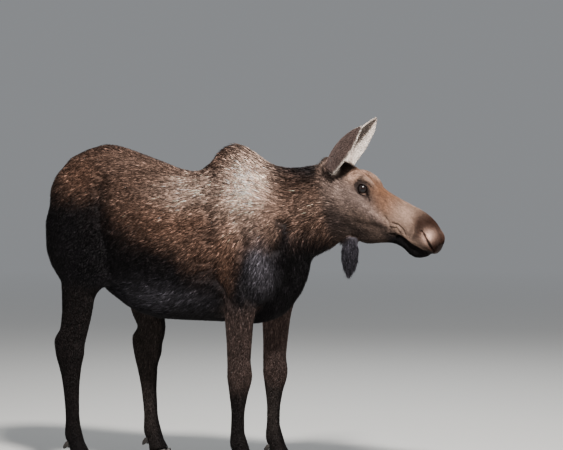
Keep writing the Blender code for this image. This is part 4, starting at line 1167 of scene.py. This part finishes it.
rough = ranged(tree, wear.outputs[0], *NOISE_SPAN, *HORN_ROUGHNESS)
link(tree, rough, shader.inputs["Roughness"])
finish(shader, Specular_IOR_Level=0.30)
bump = node(tree, "ShaderNodeBump", Strength=0.45, Distance=0.0008)
link(tree, rings.outputs[1], bump.inputs["Height"])
link(tree, bump.outputs[0], shader.inputs["Normal"])
for name in sorted(nodes):
    if "hoof" not in name and "dewclaw" not in name:
        continue
    shape = bmesh.new()
    shape.from_mesh(nodes[name].data)
    bmesh.ops.remove_doubles(shape, verts=shape.verts, dist=SAME_POINT)
    bmesh.ops.dissolve_limit(shape, angle_limit=SAME_PLANE, verts=shape.verts, edges=shape.edges)
    if "hoof" in name:
        rims = [edge for edge in shape.edges if edge.calc_face_angle(0) > RIM_BEND]
        bmesh.ops.bevel(shape, geom=rims, offset=HOOF_EDGE, segments=2, affect="EDGES", profile=0.6)
    bmesh.ops.triangulate(shape, faces=shape.faces)
    mesh = bpy.data.meshes.new(name)
    shape.to_mesh(mesh)
    shape.free()
    piece = bpy.data.objects.new(name.replace("hoof", "toe").replace("dewclaw", "claw"), mesh)
    bpy.context.scene.collection.objects.link(piece)
    mesh.materials.append(horn_material)
    mesh.shade_smooth()
    mesh.set_sharp_from_angle(angle=SHARP_BEND)
    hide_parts(name)
    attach(piece, "root")


# ---- the studio -----------------------------------------------------------------------
# She stands on a grey floor that melts into a pale surround. A high key light stands at her
# front right, a weak wide fill at her rear right and a rim light at her left.
SURROUND, SURROUND_STRENGTH = (0.80, 0.83, 0.87, 1), 0.32
FLOOR_REACH, FLOOR_GREY = 400.0, (0.40, 0.40, 0.39, 1)
FADE = (3.0, 16.0)  # how far from her the floor begins and ends to melt into the surround
bpy.ops.mesh.primitive_circle_add(vertices=96, radius=FLOOR_REACH, fill_type="NGON")
floor = bpy.context.object
floor.name = "floor"
floor_material = bpy.data.materials.new("floor")
floor_material.use_nodes = True
tree = floor_material.node_tree
floor_shader = finish(tree.nodes["Principled BSDF"], Base_Color=FLOOR_GREY, Roughness=0.8)
glow = node(tree, "ShaderNodeEmission", Color=SURROUND, Strength=SURROUND_STRENGTH)
coords = tree.nodes.new("ShaderNodeTexCoord")
reach = tree.nodes.new("ShaderNodeVectorMath")
reach.operation = "LENGTH"
link(tree, coords.outputs["Object"], reach.inputs[0])
melt = tree.nodes.new("ShaderNodeMixShader")
link(tree, ranged(tree, reach.outputs["Value"], *FADE, 0.0, 1.0), melt.inputs[0])
link(tree, floor_shader.outputs[0], melt.inputs[1])
link(tree, glow.outputs[0], melt.inputs[2])
link(tree, melt.outputs[0], tree.nodes["Material Output"].inputs["Surface"])
floor.data.materials.append(floor_material)
floor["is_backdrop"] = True


def aimed(made, place, target):
    """Stands a light or the camera at a place and turns it to a target."""
    made.location = place
    made.rotation_mode = "QUATERNION"
    made.rotation_quaternion = (place - target).to_track_quat("Z", "Y")


HER_MIDDLE = Vector((0, 0, 1.1))


def area_light(name, place, size, power, tint):
    """A square soft light that looks at the middle of her body."""
    lamp = bpy.data.lights.new(name, "AREA")
    lamp.size, lamp.energy, lamp.color = size, power, tint
    made = bpy.data.objects.new(name, lamp)
    bpy.context.scene.collection.objects.link(made)
    aimed(made, Vector(place), HER_MIDDLE)


area_light("key", (3.2, -4.6, 7.2), 1.0, 2700, (1.0, 0.96, 0.91))
area_light("fill", (-4.5, -5.5, 2.5), 4.0, 60, (0.90, 0.95, 1.0))
area_light("rim", (-1.5, 5.5, 5.0), 3.0, 260, (0.96, 0.98, 1.0))
world = bpy.data.worlds.new("surround")
bpy.context.scene.world = world
world.use_nodes = True
finish(world.node_tree.nodes["Background"], Color=SURROUND, Strength=SURROUND_STRENGTH)

AIM = Vector((0.2497, 0.0, 1.318))
AZIMUTH, ELEVATION, DISTANCE = math.radians(25), math.radians(3), 16.0  # of the camera from it
SENSOR, LENS = 36.0, 196.4  # in mm
camera = bpy.data.objects.new("camera", bpy.data.cameras.new("camera"))
bpy.context.scene.collection.objects.link(camera)
bpy.context.scene.camera = camera
camera.data.sensor_width, camera.data.lens = SENSOR, LENS
level = math.cos(ELEVATION)
back = Vector((math.sin(AZIMUTH) * level, -math.cos(AZIMUTH) * level, math.sin(ELEVATION)))
aimed(camera, AIM + back * DISTANCE, AIM)

low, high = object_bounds()
